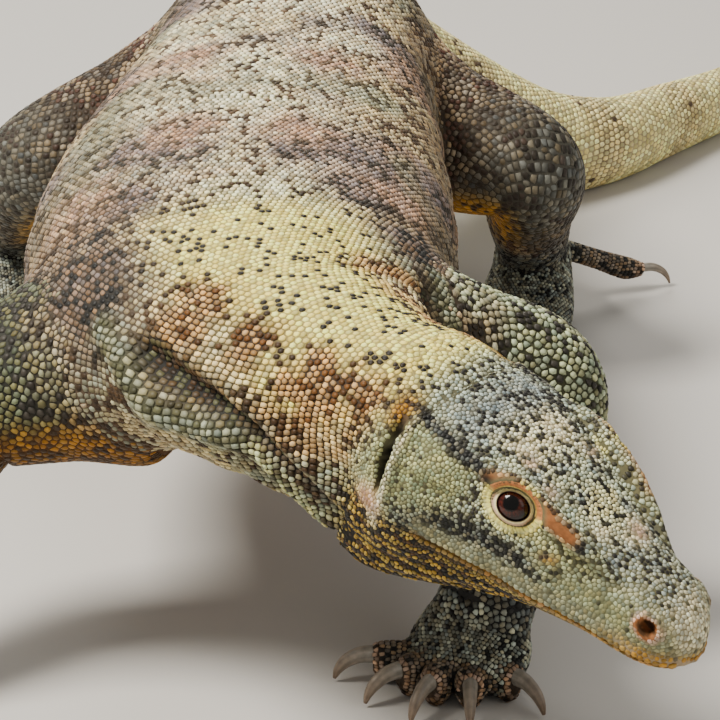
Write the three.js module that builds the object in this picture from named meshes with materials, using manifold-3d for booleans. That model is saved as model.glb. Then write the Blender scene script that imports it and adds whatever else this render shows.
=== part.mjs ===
// A komodo dragon as a still, life-size museum model: 2.3 m from snout to tail tip, in mid step, with
// the trunk bent, the neck turned to the left and the head held low. Millimetres, +Z up; the animal
// faces -Y, so its left side is +X. The origin is on the floor, under the middle of the model's box.
import * as THREE from "three";
import { mergeVertices } from "three/addons/utils/BufferGeometryUtils.js";
import Module from "manifold-3d";

const wasm = await Module();
wasm.setup();

// ---------------------------------------------------------------- driving sizes
const HEAD_LENGTH = 184; // snout tip to ear
const HEAD_YAW = 51; // degrees that the head turns to the animal's left
const HEAD_PITCH = 25; // degrees that the snout points down
const SNOUT_TIP = [166.5, -207.6, 129];
const BOX_MIDDLE = [64.95, 695.92]; // floor point under the middle of the box, in the frame of the rows below
const GAP = 0.35; // clear space between pieces that meet
const FLOOR_DIP = 1.5; // how far soles and tail would reach below the floor, which trims them flat
const EYE = { back: 110, up: 28.7, out: 35, radius: 10.5 };
const NOSTRIL = { back: 22, up: 15, out: 23.5, radii: [5, 3.6, 4] };
const EAR = { back: 182, up: 3, out: 56, radii: [4.5, 13, 5] };
const MOUTH = { corner: 142, drop: 2, slope: 4 }; // the lip line falls by slope degrees to its corner
const CLAW_REACH = 22; // how far a claw reaches out past its toe

// Points round a ring of each piece.
const BODY_AROUND = 24;
const LEG_AROUND = 10;
const SOLE_AROUND = 10;
const TOE_AROUND = 7;
const CLAW_AROUND = 6;
const BROW_AROUND = 7;

// ---------------------------------------------------------------- cross-sections
// Each row is one cross-section: x, y and z of its centre, then its half width, its height above and its
// depth below the centre, and how square its outline is (2 is an ellipse).

// The head's rows hold a share of the head's length in place of x, y and z.
const HEAD_ROWS = [
  [0.0, 1, 2, 1, 2.0],
  [0.012, 10, 11.5, 6, 2.2],
  [0.04, 18, 19, 10.5, 2.4],
  [0.09, 24.5, 25, 14, 2.5],
  [0.16, 28.5, 29, 17, 2.5],
  [0.26, 31.5, 32, 20, 2.6],
  [0.36, 36, 34.5, 23.5, 2.8],
  [0.45, 41, 38.5, 27.5, 2.9],
  [0.54, 43.5, 43.5, 35, 3.0],
  [0.62, 48, 46.5, 42, 3.0],
  [0.72, 52, 48, 56, 2.8],
  [0.84, 56, 47.5, 72, 2.6],
  [0.94, 56.5, 47, 83, 2.4],
  [1.03, 55, 47, 84, 2.2],
];
// The ridge over each eye: back from the snout tip, up, out from the middle, and its radius.
const BROW_ROWS = [
  [46, 23, 21, 3],
  [64, 30, 27, 5],
  [82, 35, 32, 6.5],
  [98, 38, 35, 7.8],
  [114, 39.5, 37.5, 8.5],
  [130, 38, 39.5, 7],
  [141, 35.5, 40, 4.5],
];
const NECK_ROWS = [
  [12, -80, 209, 58, 48, 74, 2.1],
  [-18, -45, 206, 73, 55, 52, 2.1],
  [-42, -5, 200, 92, 64, 47, 2.1],
];
const TRUNK_ROWS = [
  [-62, 60, 194, 112, 76, 62, 2.2],
  [-70, 140, 188, 126, 86, 82, 2.2],
  [-67, 240, 186, 125, 90, 94, 2.2],
  [-57, 350, 192, 110, 86, 88, 2.2],
  [-47, 440, 202, 94, 78, 78, 2.2],
  [-41, 520, 206, 84, 72, 70, 2.2],
  [-38, 590, 198, 68, 62, 62, 2.1],
];
const TAIL_BASE_ROWS = [
  [-15, 655, 160, 55, 55, 55, 2],
  [55, 715, 98, 44, 49, 49, 2],
  [130, 755, 52, 36, 41, 46, 2],
];
const TAIL_MIDDLE_ROWS = [
  [190, 795, 36, 28.5, 34, 36 + FLOOR_DIP, 2],
  [245, 858, 30, 24.5, 29.5, 30 + FLOOR_DIP, 2],
  [320, 950, 25, 20, 25, 25 + FLOOR_DIP, 2],
  [420, 1110, 21, 16, 21, 21 + FLOOR_DIP, 2],
];
const TAIL_TIP_ROWS = [
  [470, 1290, 16, 11.5, 16, 16 + FLOOR_DIP, 2],
  [465, 1460, 11, 7, 11, 11 + FLOOR_DIP, 2],
  [430, 1610, 5, 3, 4, 5 + FLOOR_DIP, 2],
];

// A leg's rows have one radius and run from the hip or shoulder down to the wrist or ankle, with the
// elbow or knee at row BEND. The sole's rows run on from there, level, and `toes` names the set of toes,
// which spread round the point `middle` and turn by `heading` degrees outwards.
const BEND = 2;
const LEGS = {
  left_fore: {
    names: ["upper_arm_left", "forearm_left", "hand_left"],
    outward: 1,
    rows: [[8, 45, 182, 50], [62, 64, 175, 39.5], [106, 66, 153, 34.5], [99, 40, 100, 30], [71, 14, 44, 28]],
    sole: [
      [71, 14, 44, 28, 23, 24, 2],
      [66, 8, 28, 35, 20, 24, 2],
      [60, -4, 18, 36, 15, 18 + FLOOR_DIP, 2.2],
      [54, -20, 14, 27, 12, 14, 2.2],
    ],
    middle: [58, 0],
    heading: -20,
    toes: "fore",
  },
  right_fore: {
    names: ["upper_arm_right", "forearm_right", "hand_right"],
    outward: -1,
    rows: [[-112, 45, 176, 56], [-170, 50, 168, 50], [-226, 46, 148, 43], [-252, 12, 94, 32], [-266, -18, 42, 25]],
    sole: [
      [-266, -18, 42, 25, 22, 24, 2],
      [-268, -24, 28, 31, 19, 24, 2],
      [-272, -38, 18, 32, 15, 18 + FLOOR_DIP, 2.2],
      [-275, -55, 14, 24, 12, 14, 2.2],
    ],
    middle: [-272, -34],
    heading: 10,
    toes: "fore",
  },
  left_hind: {
    names: ["thigh_left", "shin_left", "foot_left"],
    outward: 1,
    rows: [[-15, 508, 184, 52], [53, 464, 161, 50], [112, 427, 150, 38], [117, 478, 98, 30], [124, 556, 42, 25]],
    sole: [
      [124, 556, 42, 25, 22, 24, 2],
      [123, 540, 30, 29, 20, 28, 2],
      [117, 498, 20, 34, 16, 20 + FLOOR_DIP, 2.2],
      [112, 462, 15, 32, 13, 15 + FLOOR_DIP, 2.2],
      [111, 442, 13, 20, 10, 12, 2.2],
    ],
    middle: [112, 460],
    heading: 0,
    toes: "hind",
  },
  right_hind: {
    names: ["thigh_right", "shin_right", "foot_right"],
    outward: -1,
    rows: [[-72, 508, 190, 52], [-148, 475, 164, 51], [-218, 460, 140, 38], [-240, 518, 88, 29], [-250, 588, 40, 24]],
    sole: [
      [-250, 588, 40, 24, 21, 24, 2],
      [-252, 572, 29, 29, 20, 27, 2],
      [-260, 530, 20, 34, 16, 20 + FLOOR_DIP, 2.2],
      [-268, 495, 15, 32, 13, 15 + FLOOR_DIP, 2.2],
      [-272, 475, 13, 20, 10, 12, 2.2],
    ],
    middle: [-270, 494],
    heading: 14,
    toes: "hind",
  },
};

// Toes from the inner to the outer one: how far the root lies ahead of the foot's middle and outwards
// of it, the toe's direction in degrees outwards of straight ahead, its reach to the claw's tip, how
// much higher it starts than it ends, and its thickness as a share of the rows below.
const TOES = {
  fore: [[0, -6, -67, 67, 0, 1], [0, -3, -39, 61, 0, 1], [0, 0, -10, 60, 0, 1], [0, 5, 18, 57, 0, 1], [0, 9, 62, 54, 0, 1]],
  hind: [[0, -14, -30, 64, 0, 1], [0, -7, -15, 84, 0, 1], [0, 0, -2, 101, 0, 1], [0, 8, 12, 112, 0, 1], [-92, 22, 108, 97, 31, 0.65]],
};
// A toe's rows: share of its length, height of the centre, half width, top, bottom.
const TOE_ROWS = [
  [0, 15, 10, 10, 13],
  [0.5, 15.5, 9.5, 9, 14],
  [0.84, 16.5, 9, 8.5, 16.5 + FLOOR_DIP],
  [1, 16.5, 6.5, 6.5, 10],
];
// A claw's rows: share of CLAW_REACH, height of the centre, half width, top, bottom.
const CLAW_ROWS = [
  [0, 17.5, 4.6, 5.6, 5.6],
  [0.36, 17, 4.2, 5, 5],
  [0.7, 13.2, 3.6, 4.2, 4.2],
  [0.9, 8, 2.6, 2.9, 2.9],
  [1, 2.6, 1.2, 1.3, 1.3],
];

// ---------------------------------------------------------------- materials
const coloured = (color, roughness = 0.75) => new THREE.MeshStandardMaterial({ color, roughness, metalness: 0 });
const HEAD_SKIN = coloured(0xa9a88c);
const NECK_SKIN = coloured(0xc9bd82);
const TRUNK_SKIN = coloured(0xa68b73);
const TAIL_SKIN = coloured(0xc2ac7c);
const LEG_SKIN = coloured(0x5f5a4e);
const FOOT_SKIN = coloured(0x35332f);
const EYE_SURFACE = coloured(0x2a1710, 0.08);
const CLAW_HORN = coloured(0x6d6a66, 0.4);

// ---------------------------------------------------------------- curves and lofts
const vector = ([x, y, z]) => new THREE.Vector3(x, y, z);
const radians = THREE.MathUtils.degToRad;
const UPWARD = new THREE.Vector3(0, 0, 1);

// The rows, with one more halfway along each span past the first `coarse` spans, on the Catmull-Rom
// curve through the rows.
function splined(rows, coarse = 0) {
  const last = rows.length - 1;
  const beyond = (end, inner) => end.map((value, i) => 2 * value - inner[i]);
  const padded = [beyond(rows[0], rows[1]), ...rows, beyond(rows[last], rows[last - 1])];
  const samples = [];
  for (let span = 0; span < last; span++) {
    const [a, b, c, d] = padded.slice(span, span + 4);
    samples.push(b);
    if (span >= coarse) samples.push(b.map((value, i) => (9 * (value + c[i]) - a[i] - d[i]) / 16));
  }
  samples.push(rows[last]);
  return samples;
}

// One ring of points round each row's centre. On a level path the rings' sides stay level; otherwise
// each ring takes over the side of the ring before it, so a path that turns down doesn't twist.
// `grow` widens the rings, and `trim` moves the two end rings inwards along the path.
function ringsOf(rows, around, { level = true, grow = 0, trim = 0 } = {}) {
  const centres = rows.map(vector);
  const last = rows.length - 1;
  let side = null;
  return rows.map(([, , , halfWidth, top, bottom, square], i) => {
    const tangent = centres[Math.min(i + 1, last)].clone().sub(centres[Math.max(i - 1, 0)]).normalize();
    if (level || !side) side = tangent.clone().cross(UPWARD);
    side = side.clone().addScaledVector(tangent, -side.dot(tangent)).normalize();
    const above = side.clone().cross(tangent);
    const shift = i === 0 ? trim : i === last ? -trim : 0;
    const centre = centres[i].clone().addScaledVector(tangent, shift);
    return Array.from({ length: around }, (_, k) => {
      const [c, s] = [Math.cos((2 * Math.PI * k) / around), Math.sin((2 * Math.PI * k) / around)];
      const across = Math.sign(c) * Math.abs(c) ** (2 / square) * (halfWidth + grow);
      const height = Math.sign(s) * Math.abs(s) ** (2 / square) * ((s > 0 ? top : bottom) + grow);
      return centre.clone().addScaledVector(side, across).addScaledVector(above, height);
    });
  });
}

// A geometry as a closed solid, with its faces turned outwards.
function solid(geometry) {
  const bare = geometry.clone();
  bare.deleteAttribute("normal");
  bare.deleteAttribute("uv");
  const merged = mergeVertices(bare, 1e-3);
  const vertProperties = merged.attributes.position.array;
  const facing = (triVerts) => new wasm.Manifold(new wasm.Mesh({ numProp: 3, vertProperties, triVerts }));
  const triVerts = new Uint32Array(merged.index.array);
  const made = facing(triVerts);
  return made.volume() > 0 ? made : facing(triVerts.reverse());
}

// A closed solid over rings of points, with a fan of faces on each end.
function overRings(rings) {
  const around = rings[0].length;
  const points = rings.flat();
  const middleOf = (ring) =>
    ring.reduce((sum, point) => sum.add(point), new THREE.Vector3()).divideScalar(around);
  const head = points.push(middleOf(rings[0])) - 1;
  const tail = points.push(middleOf(rings[rings.length - 1])) - 1;
  const end = (rings.length - 1) * around;
  const faces = [];
  for (let k = 0; k < around; k++) {
    const next = (k + 1) % around;
    faces.push(head, next, k, tail, end + k, end + next);
    for (let a = 0; a < end; a += around) {
      const b = a + around;
      faces.push(a + k, a + next, b + next, a + k, b + next, b + k);
    }
  }
  return solid(new THREE.BufferGeometry().setFromPoints(points).setIndex(faces));
}

const loft = (rows, around, options) => overRings(ringsOf(rows, around, options));

// The solid without the other solids.
const without = (made, ...others) => others.reduce((rest, other) => rest.subtract(other), made);

// The largest body of a cut, which drops the slivers that it leaves.
const largest = (made) => made.decompose().sort((a, b) => b.volume() - a.volume())[0];

// The part of a solid that stands above the floor.
function aboveFloor(made) {
  const room = new THREE.BoxGeometry(4000, 4000, 1000);
  room.translate(0, 0, 500);
  return made.intersect(solid(room));
}

// ---------------------------------------------------------------- the head's own frame
// Places on the head are given back from the snout tip, up from the head's axis and to the left.
const [YAW, PITCH] = [radians(HEAD_YAW), radians(HEAD_PITCH)];
const BACK = vector([-Math.sin(YAW) * Math.cos(PITCH), Math.cos(YAW) * Math.cos(PITCH), Math.sin(PITCH)]);
const LEFT = vector([Math.cos(YAW), Math.sin(YAW), 0]);
const CROWN = LEFT.clone().cross(BACK);
const HEAD_FRAME = new THREE.Matrix4().makeBasis(BACK, CROWN, LEFT).setPosition(vector(SNOUT_TIP));
const headPoint = (back, up, left) => new THREE.Vector3(back, up, left).applyMatrix4(HEAD_FRAME);

// An ellipsoid on the left (side 1) or right (side -1) of the head.
function headBall({ back, up, out, radii }, side, segments = 12, grow = 0) {
  const ball = new THREE.SphereGeometry(1, segments, segments / 2);
  ball.scale(...radii.map((radius) => radius + grow));
  ball.translate(back, up, side * out);
  return solid(ball.applyMatrix4(HEAD_FRAME));
}

// Everything below the lip line and ahead of the jaw's hinge, as a prism right across the head.
function jawRegion(grow) {
  const lip = (back) => grow - MOUTH.drop - back * Math.tan(radians(MOUTH.slope));
  const { corner } = MOUTH;
  const outline = new THREE.Shape();
  outline.moveTo(-20, lip(-20));
  outline.lineTo(corner + grow, lip(corner));
  outline.lineTo(corner + 28 + grow, -100);
  outline.lineTo(-20, -100);
  const prism = new THREE.ExtrudeGeometry(outline, { depth: 200, bevelEnabled: false });
  prism.translate(0, 0, -100);
  return solid(prism.applyMatrix4(HEAD_FRAME));
}

// ---------------------------------------------------------------- the body, from snout to tail tip
const bodyRows = splined(
  [
    ...HEAD_ROWS.map(([share, ...size]) => [...headPoint(share * HEAD_LENGTH, 0, 0).toArray(), ...size]),
    ...NECK_ROWS,
    ...TRUNK_ROWS,
    ...TAIL_BASE_ROWS,
    ...TAIL_MIDDLE_ROWS,
    ...TAIL_TIP_ROWS,
  ],
  HEAD_ROWS.length - 1,
);
const bodyHull = loft(bodyRows, BODY_AROUND, { grow: GAP });

// The body from one sample to another, with its cut ends moved inwards by `inset`.
function bodyLength(start, end, { grow = 0, inset = GAP / 2 } = {}) {
  const rings = ringsOf(bodyRows, BODY_AROUND, { grow }).slice(start, end + 1);
  const moveEnd = (ring, [from, to]) => {
    const way = vector(bodyRows[to]).sub(vector(bodyRows[from])).normalize();
    ring.forEach((point) => point.addScaledVector(way, inset));
  };
  if (start > 0) moveEnd(rings[0], [start - 1, start + 1]);
  if (end < bodyRows.length - 1) moveEnd(rings[rings.length - 1], [end + 1, end - 1]);
  return overRings(rings);
}

// The last sample of the head, neck, trunk and the tail's base, middle and tip.
const headEnd = HEAD_ROWS.length - 1;
const lengthEnds = [NECK_ROWS, TRUNK_ROWS, TAIL_BASE_ROWS, TAIL_MIDDLE_ROWS, TAIL_TIP_ROWS].reduce(
  (ends, rows) => [...ends, ends[ends.length - 1] + 2 * rows.length],
  [headEnd],
);
const [wholeHead, wholeNeck, trunk, ...tail] = lengthEnds.map((end, i) => bodyLength(lengthEnds[i - 1] ?? 0, end));
const neck = wholeNeck.subtract(bodyLength(0, headEnd, { grow: GAP, inset: -GAP / 2 }));

// ---------------------------------------------------------------- head, jaw and eyes
const SIDES = [["left", 1], ["right", -1]];
const eyeball = { ...EYE, radii: [EYE.radius, EYE.radius, EYE.radius] };

// The ridge over the eye on one side.
function brow(side) {
  const rows = BROW_ROWS.map(([back, up, out, radius]) => {
    return [...headPoint(back, up, side * out).toArray(), radius, radius, radius, 2];
  });
  return loft(rows, BROW_AROUND);
}

function skullAndJaw() {
  let head = wholeHead;
  for (const [, side] of SIDES) {
    head = head.add(brow(side));
    head = without(head, headBall(eyeball, side, 12, GAP), headBall(NOSTRIL, side, 6), headBall(EAR, side, 8));
  }
  return [largest(head.subtract(jawRegion(GAP))), largest(head.intersect(jawRegion(0)))];
}

// ---------------------------------------------------------------- legs, toes and claws
// A way out from a foot's middle over the floor, at `angle` degrees outwards of the foot's own heading.
function footWay({ heading, outward }, angle) {
  const turn = radians(heading + angle);
  return new THREE.Vector3(outward * Math.sin(turn), -Math.cos(turn), 0);
}

// Rows along a straight way over the floor, from [share, height, half width, top, bottom], made thinner
// by `girth`, with `lift` added to the height of the first row and less and less to the ones after it.
function rowsAlong(start, way, length, rows, girth, lift = 0) {
  return rows.map(([share, height, ...size]) => {
    const place = start.clone().addScaledVector(way, share * length);
    return [place.x, place.y, height + lift * (1 - share), ...size.map((value) => value * girth), 2];
  });
}

// The toes of a foot, their claws and the room that each claw needs, from the inner to the outer one.
function digits(leg) {
  return TOES[leg.toes].map(([ahead, out, angle, reach, lift, girth]) => {
    const root = vector([...leg.middle, 0]);
    root.addScaledVector(footWay(leg, 0), ahead).addScaledVector(footWay(leg, 90), out);
    const way = footWay(leg, angle);
    const length = reach - CLAW_REACH;
    const knuckle = root.clone().addScaledVector(way, length + 2 * GAP);
    const clawRows = rowsAlong(knuckle, way, CLAW_REACH - 2 * GAP, CLAW_ROWS, girth);
    return {
      toe: loft(rowsAlong(root, way, length, TOE_ROWS, girth, lift), TOE_AROUND),
      claw: loft(clawRows, CLAW_AROUND),
      room: loft(clawRows, CLAW_AROUND, { grow: GAP, trim: -GAP }),
    };
  });
}

// A leg's upper and lower length, its foot with the toes on it, and its claws.
function legPieces(leg) {
  const rows = splined(leg.rows.map(([x, y, z, radius]) => [x, y, z, radius, radius, radius, 2]));
  const bend = 2 * BEND;
  const span = (from, to, trim, grow) => {
    const rings = ringsOf(rows, LEG_AROUND, { level: false, grow });
    const tangentAt = (i) =>
      vector(rows[Math.min(i + 1, rows.length - 1)]).sub(vector(rows[Math.max(i - 1, 0)])).normalize();
    const moved = (i, by) => rings[i].map((point) => point.clone().addScaledVector(tangentAt(i), by));
    return overRings([moved(from, trim), ...rings.slice(from + 1, to), moved(to, -trim)]);
  };
  const toesAndClaws = digits(leg);
  const lower = aboveFloor(span(bend, rows.length - 1, GAP / 2, 0));
  const upper = without(span(0, bend, GAP / 2, 0), bodyHull, lower);
  const foot = toesAndClaws.reduce((sum, { toe }) => sum.add(toe), loft(splined(leg.sole), SOLE_AROUND));
  const rooms = toesAndClaws.map(({ room }) => room);
  const shaped = without(foot, span(bend, rows.length - 1, -GAP / 2, GAP), bodyHull, ...rooms);
  return {
    upper: largest(upper),
    lower: largest(without(lower, bodyHull)),
    foot: largest(aboveFloor(shaped)),
    claws: toesAndClaws.map(({ claw }) => claw),
  };
}

// ---------------------------------------------------------------- the group
const animal = new THREE.Group();
animal.position.set(-BOX_MIDDLE[0], -BOX_MIDDLE[1], 0);

function place(name, made, material) {
  const { vertProperties, triVerts } = made.getMesh();
  const geometry = new THREE.BufferGeometry();
  geometry.setAttribute("position", new THREE.BufferAttribute(vertProperties, 3));
  geometry.setIndex(new THREE.BufferAttribute(triVerts, 1));
  const mesh = new THREE.Mesh(geometry, material);
  mesh.name = name;
  animal.add(mesh);
}

const [head, jaw] = skullAndJaw();
place("head", head, HEAD_SKIN);
place("lower_jaw", jaw, HEAD_SKIN);
for (const [name, side] of SIDES) place(`eye_${name}`, headBall(eyeball, side), EYE_SURFACE);
place("neck", neck, NECK_SKIN);
place("trunk", trunk, TRUNK_SKIN);
["tail_base", "tail_middle", "tail_tip"].forEach((name, i) => place(name, aboveFloor(tail[i]), TAIL_SKIN));
for (const leg of Object.values(LEGS)) {
  const { upper, lower, foot, claws } = legPieces(leg);
  const [upperName, lowerName, footName] = leg.names;
  place(upperName, upper, LEG_SKIN);
  place(lowerName, lower, LEG_SKIN);
  place(footName, foot, FOOT_SKIN);
  claws.forEach((claw, i) => place(`${footName}_claw_${i + 1}`, claw, CLAW_HORN));
}

export default animal;
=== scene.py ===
"""A komodo dragon as a life-size museum model: one skin over the whole animal, dressed with solid
bead scales in rows that follow the body, with eyes and claws of their own.

Lengths in the tables are millimetres in the modeller's frame, which has its origin on the floor under
the shoulders; `to_row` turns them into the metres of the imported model. The animal faces -Y, its left
side is +X and up is +Z.
"""

import bmesh
import bpy
import numpy as np
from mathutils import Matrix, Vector, kdtree
from mathutils.bvhtree import BVHTree


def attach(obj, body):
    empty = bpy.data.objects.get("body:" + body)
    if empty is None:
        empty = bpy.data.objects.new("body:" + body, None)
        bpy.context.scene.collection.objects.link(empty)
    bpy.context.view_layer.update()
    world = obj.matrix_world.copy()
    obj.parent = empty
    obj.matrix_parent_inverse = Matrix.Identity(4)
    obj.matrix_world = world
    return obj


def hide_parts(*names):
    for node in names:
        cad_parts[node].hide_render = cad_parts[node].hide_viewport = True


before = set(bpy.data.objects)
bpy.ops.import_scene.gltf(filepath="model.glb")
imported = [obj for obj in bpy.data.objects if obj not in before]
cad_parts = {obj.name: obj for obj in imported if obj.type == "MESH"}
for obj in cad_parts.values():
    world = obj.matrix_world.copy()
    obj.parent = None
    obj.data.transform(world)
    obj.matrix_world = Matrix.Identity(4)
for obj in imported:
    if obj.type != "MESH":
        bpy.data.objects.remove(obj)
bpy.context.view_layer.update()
chance = np.random.default_rng(7)

# ---------------------------------------------------------------- driving sizes
HEAD_LENGTH = 184.0
HEAD_YAW = np.radians(51)
HEAD_PITCH = np.radians(25)
SNOUT_TIP = np.array([166.5, -207.6, 129.0])
BOX_MIDDLE = np.array([64.95, 695.92, 0.0])
SKIN_DEPTH = 1.1  # how far the skin lies inside the flesh, under the scales
SOLE_LIFT = 0.9  # the skin's height where it stands, with flat scales beneath
CLAW_REACH = 22.0
EYE = dict(back=110.0, up=28.7, out=35.0, radius=10.5)
EYE_OPENING = (8.8, 7.0)  # half length and half height between the lids
LID_DEPTH = -0.6  # thickness of the lids over the eyeball
NOSTRIL = dict(back=22.5, up=15.5, long=4.5, high=2.9)
EAR = dict(back=174.5, up=13.0, long=3.2, high=17.0)
MOUTH = dict(corner=142.0, drop=2.0, slope=np.tan(np.radians(4)))
EYE_AXIS = (-0.32, 0.52, 0.80)  # back, up, out: from the eyeball's middle to the middle of the opening
GAZE = (-0.12, 0.61, 0.80)  # where the pupil looks
LID_WAY = np.array([1.0, -0.12, 0.0])  # the long way of the opening
PUPIL = 21.8  # degrees from the gaze to the pupil's edge
# Ridges and a groove of the head as lines of (back, up, out).
CANTHUS_LINE = [(24, 26, 19), (44, 29.5, 23.5), (66, 33, 30), (76, 35, 33)]
TEMPLE_LINE = [(132, 40, 38), (150, 39, 42), (172, 37, 45)]
GROOVE_LINE = [(121, 24, 45), (136, 19, 49), (150, 16, 52)]
# The camera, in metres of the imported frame, with a view of as many columns as rows, and the enlarged
# part of that view in which the head's places were picked.
CAMERA_PLACE = (-0.06495, -2.34032, 0.9321)
CAMERA_TILT = 66.0  # degrees up from straight down
LENS, SENSOR_WIDTH = 165.0, 36.0
VIEW_SIZE = 720
HEAD_VIEW = dict(corner=(360, 370), enlarged=3.125)
# How far round the seam two joined surfaces swell.
SHOULDER_JOIN, HIP_JOIN, ANKLE_JOIN, TOE_JOIN = 38.0, 44.0, 9.0, 7.0

# Cross-sections: x, y, z of the centre, half width, height above, depth below, squareness.
HEAD_ROWS = [  # share of the head's length, then the four sizes
    (0.0, 1, 2, 1, 2.0),
    (0.012, 10, 11.5, 6, 2.2),
    (0.04, 18, 19, 10.5, 2.4),
    (0.09, 24.5, 25, 14, 2.5),
    (0.16, 28.5, 29, 17, 2.5),
    (0.26, 31.5, 32, 20, 2.6),
    (0.36, 36, 34.5, 23.5, 2.8),
    (0.45, 41, 38.5, 27.5, 2.9),
    (0.54, 43.5, 43.5, 35, 3.0),
    (0.62, 48, 46.5, 42, 3.0),
    (0.72, 52, 48, 56, 2.8),
    (0.84, 56, 47.5, 72, 2.6),
    (0.94, 56.5, 47, 83, 2.4),
    (1.03, 55, 47, 84, 2.2),
]
BROW_ROWS = [  # the ridge over each eye: back, up, out and radius
    (46, 23, 21, 3), (64, 30, 27, 5), (82, 35, 32, 6.5), (98, 38, 35, 7.8), (114, 39.5, 37.5, 8.5),
    (130, 38, 39.5, 7), (141, 35.5, 40, 4.5),
]
BODY_ROWS = [  # neck, trunk and tail
    (12, -80, 209, 58, 48, 74, 2.1),
    (-18, -45, 206, 73, 55, 52, 2.1),
    (-42, -5, 200, 92, 64, 47, 2.1),
    (-62, 60, 194, 112, 76, 62, 2.2),
    (-70, 140, 188, 126, 86, 82, 2.2),
    (-67, 240, 186, 125, 90, 94, 2.2),
    (-57, 350, 192, 110, 86, 88, 2.2),
    (-47, 440, 202, 94, 78, 78, 2.2),
    (-41, 520, 206, 84, 72, 70, 2.2),
    (-38, 590, 198, 68, 62, 62, 2.1),
    (-15, 655, 160, 55, 55, 55, 2),
    (55, 715, 98, 44, 49, 49, 2),
    (130, 755, 52, 36, 41, 46, 2),
    (190, 795, 36, 28.5, 34, 37.5, 2),
    (245, 858, 30, 24.5, 29.5, 31.5, 2),
    (320, 950, 25, 20, 25, 26.5, 2),
    (420, 1110, 21, 16, 21, 22.5, 2),
    (470, 1290, 16, 11.5, 16, 17.5, 2),
    (465, 1460, 11, 7, 11, 12.5, 2),
    (430, 1610, 5, 3, 4, 6.5, 2),
]
NECK_START = len(HEAD_ROWS) - 1  # rows of the whole body at which its lengths begin
TRUNK_START = NECK_START + 3
TAIL_START = NECK_START + 10

# Each leg's rows are x, y, z of the centre and a radius; a sole's are like the body's.
LEGS = {
    "hand_left": dict(
        outward=1,
        rows=[(8, 45, 182, 50), (62, 64, 175, 39.5), (106, 66, 153, 34.5), (99, 40, 100, 30),
              (71, 14, 44, 28)],
        sole=[(71, 14, 44, 28, 23, 24, 2), (66, 8, 28, 35, 20, 24, 2), (60, -4, 18, 36, 15, 19.5, 2.2),
              (54, -20, 14, 27, 12, 14, 2.2)],
        middle=(58, 0), heading=-20, toes="fore"),
    "hand_right": dict(
        outward=-1,
        rows=[(-112, 45, 176, 56), (-170, 50, 168, 50), (-226, 46, 148, 43), (-252, 12, 94, 32),
              (-266, -18, 42, 25)],
        sole=[(-266, -18, 42, 25, 22, 24, 2), (-268, -24, 28, 31, 19, 24, 2),
              (-272, -38, 18, 32, 15, 19.5, 2.2), (-275, -55, 14, 24, 12, 14, 2.2)],
        middle=(-272, -34), heading=10, toes="fore"),
    "foot_left": dict(
        outward=1,
        rows=[(-15, 508, 184, 52), (53, 464, 161, 50), (112, 427, 150, 38), (117, 478, 98, 30),
              (124, 556, 42, 25)],
        sole=[(124, 556, 42, 25, 22, 24, 2), (123, 540, 30, 29, 20, 28, 2), (117, 498, 20, 34, 16, 21.5, 2.2),
              (112, 462, 15, 32, 13, 16.5, 2.2), (111, 442, 13, 20, 10, 12, 2.2)],
        middle=(112, 460), heading=0, toes="hind"),
    "foot_right": dict(
        outward=-1,
        rows=[(-72, 508, 190, 52), (-148, 475, 164, 51), (-218, 460, 140, 38), (-240, 518, 88, 29),
              (-250, 588, 40, 24)],
        sole=[(-250, 588, 40, 24, 21, 24, 2), (-252, 572, 29, 29, 20, 27, 2),
              (-260, 530, 20, 34, 16, 21.5, 2.2), (-268, 495, 15, 32, 13, 16.5, 2.2),
              (-272, 475, 13, 20, 10, 12, 2.2)],
        middle=(-270, 494), heading=14, toes="hind"),
}
# From the inner toe to the outer: ahead and outwards of the foot's middle, direction, reach, lift, girth.
TOES = {
    "fore": [(0, -6, -67, 67, 0, 1), (0, -3, -39, 61, 0, 1), (0, 0, -10, 60, 0, 1), (0, 5, 18, 57, 0, 1),
             (0, 9, 62, 54, 0, 1)],
    "hind": [(0, -14, -30, 64, 0, 1), (0, -7, -15, 84, 0, 1), (0, 0, -2, 101, 0, 1), (0, 8, 12, 112, 0, 1),
             (-92, 22, 108, 97, 31, 0.65)],
}
# Share of the length, height, half width, height above, depth below.
TOE_ROWS = [(0, 15, 10, 10, 13), (0.5, 15.5, 9.5, 9, 14), (0.84, 16.5, 9, 8.5, 18), (1, 16.5, 6.5, 6.5, 10)]
CLAW_ROWS = [(-0.2, 17.0, 4.2, 5.0, 5.2), (0, 17.5, 4.5, 5.4, 5.4), (0.36, 17, 4.1, 4.9, 4.9),
             (0.7, 13.2, 3.5, 4.1, 4.1), (0.9, 8, 2.5, 2.8, 2.8), (1, 2.6, 1.1, 1.2, 1.2)]

# The head's own ways: back from the snout, to the animal's left, and up through the crown.
BACK = np.array([-np.sin(HEAD_YAW) * np.cos(HEAD_PITCH), np.cos(HEAD_YAW) * np.cos(HEAD_PITCH),
                 np.sin(HEAD_PITCH)])
LEFT = np.array([np.cos(HEAD_YAW), np.sin(HEAD_YAW), 0.0])
CROWN = np.cross(LEFT, BACK)


def to_row(points):
    """Millimetres in the modeller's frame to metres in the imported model's frame."""
    return (np.asarray(points, float) - BOX_MIDDLE) / 1000


def head_point(back, up, left):
    """A place on the head: back from the snout tip, up from its axis and to the left of it."""
    back, up, left = (np.asarray(value, float)[..., None] for value in (back, up, left))
    return SNOUT_TIP + BACK * back + CROWN * up + LEFT * left


def head_places(points):
    """The inverse of head_point: (back, up, left) of points in the modeller's frame."""
    rel = points - SNOUT_TIP
    return rel @ BACK, rel @ CROWN, rel @ LEFT


def unit(vectors):
    """Vectors scaled to length one."""
    return vectors / np.maximum(np.linalg.norm(vectors, axis=-1, keepdims=True), 1e-9)


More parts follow.
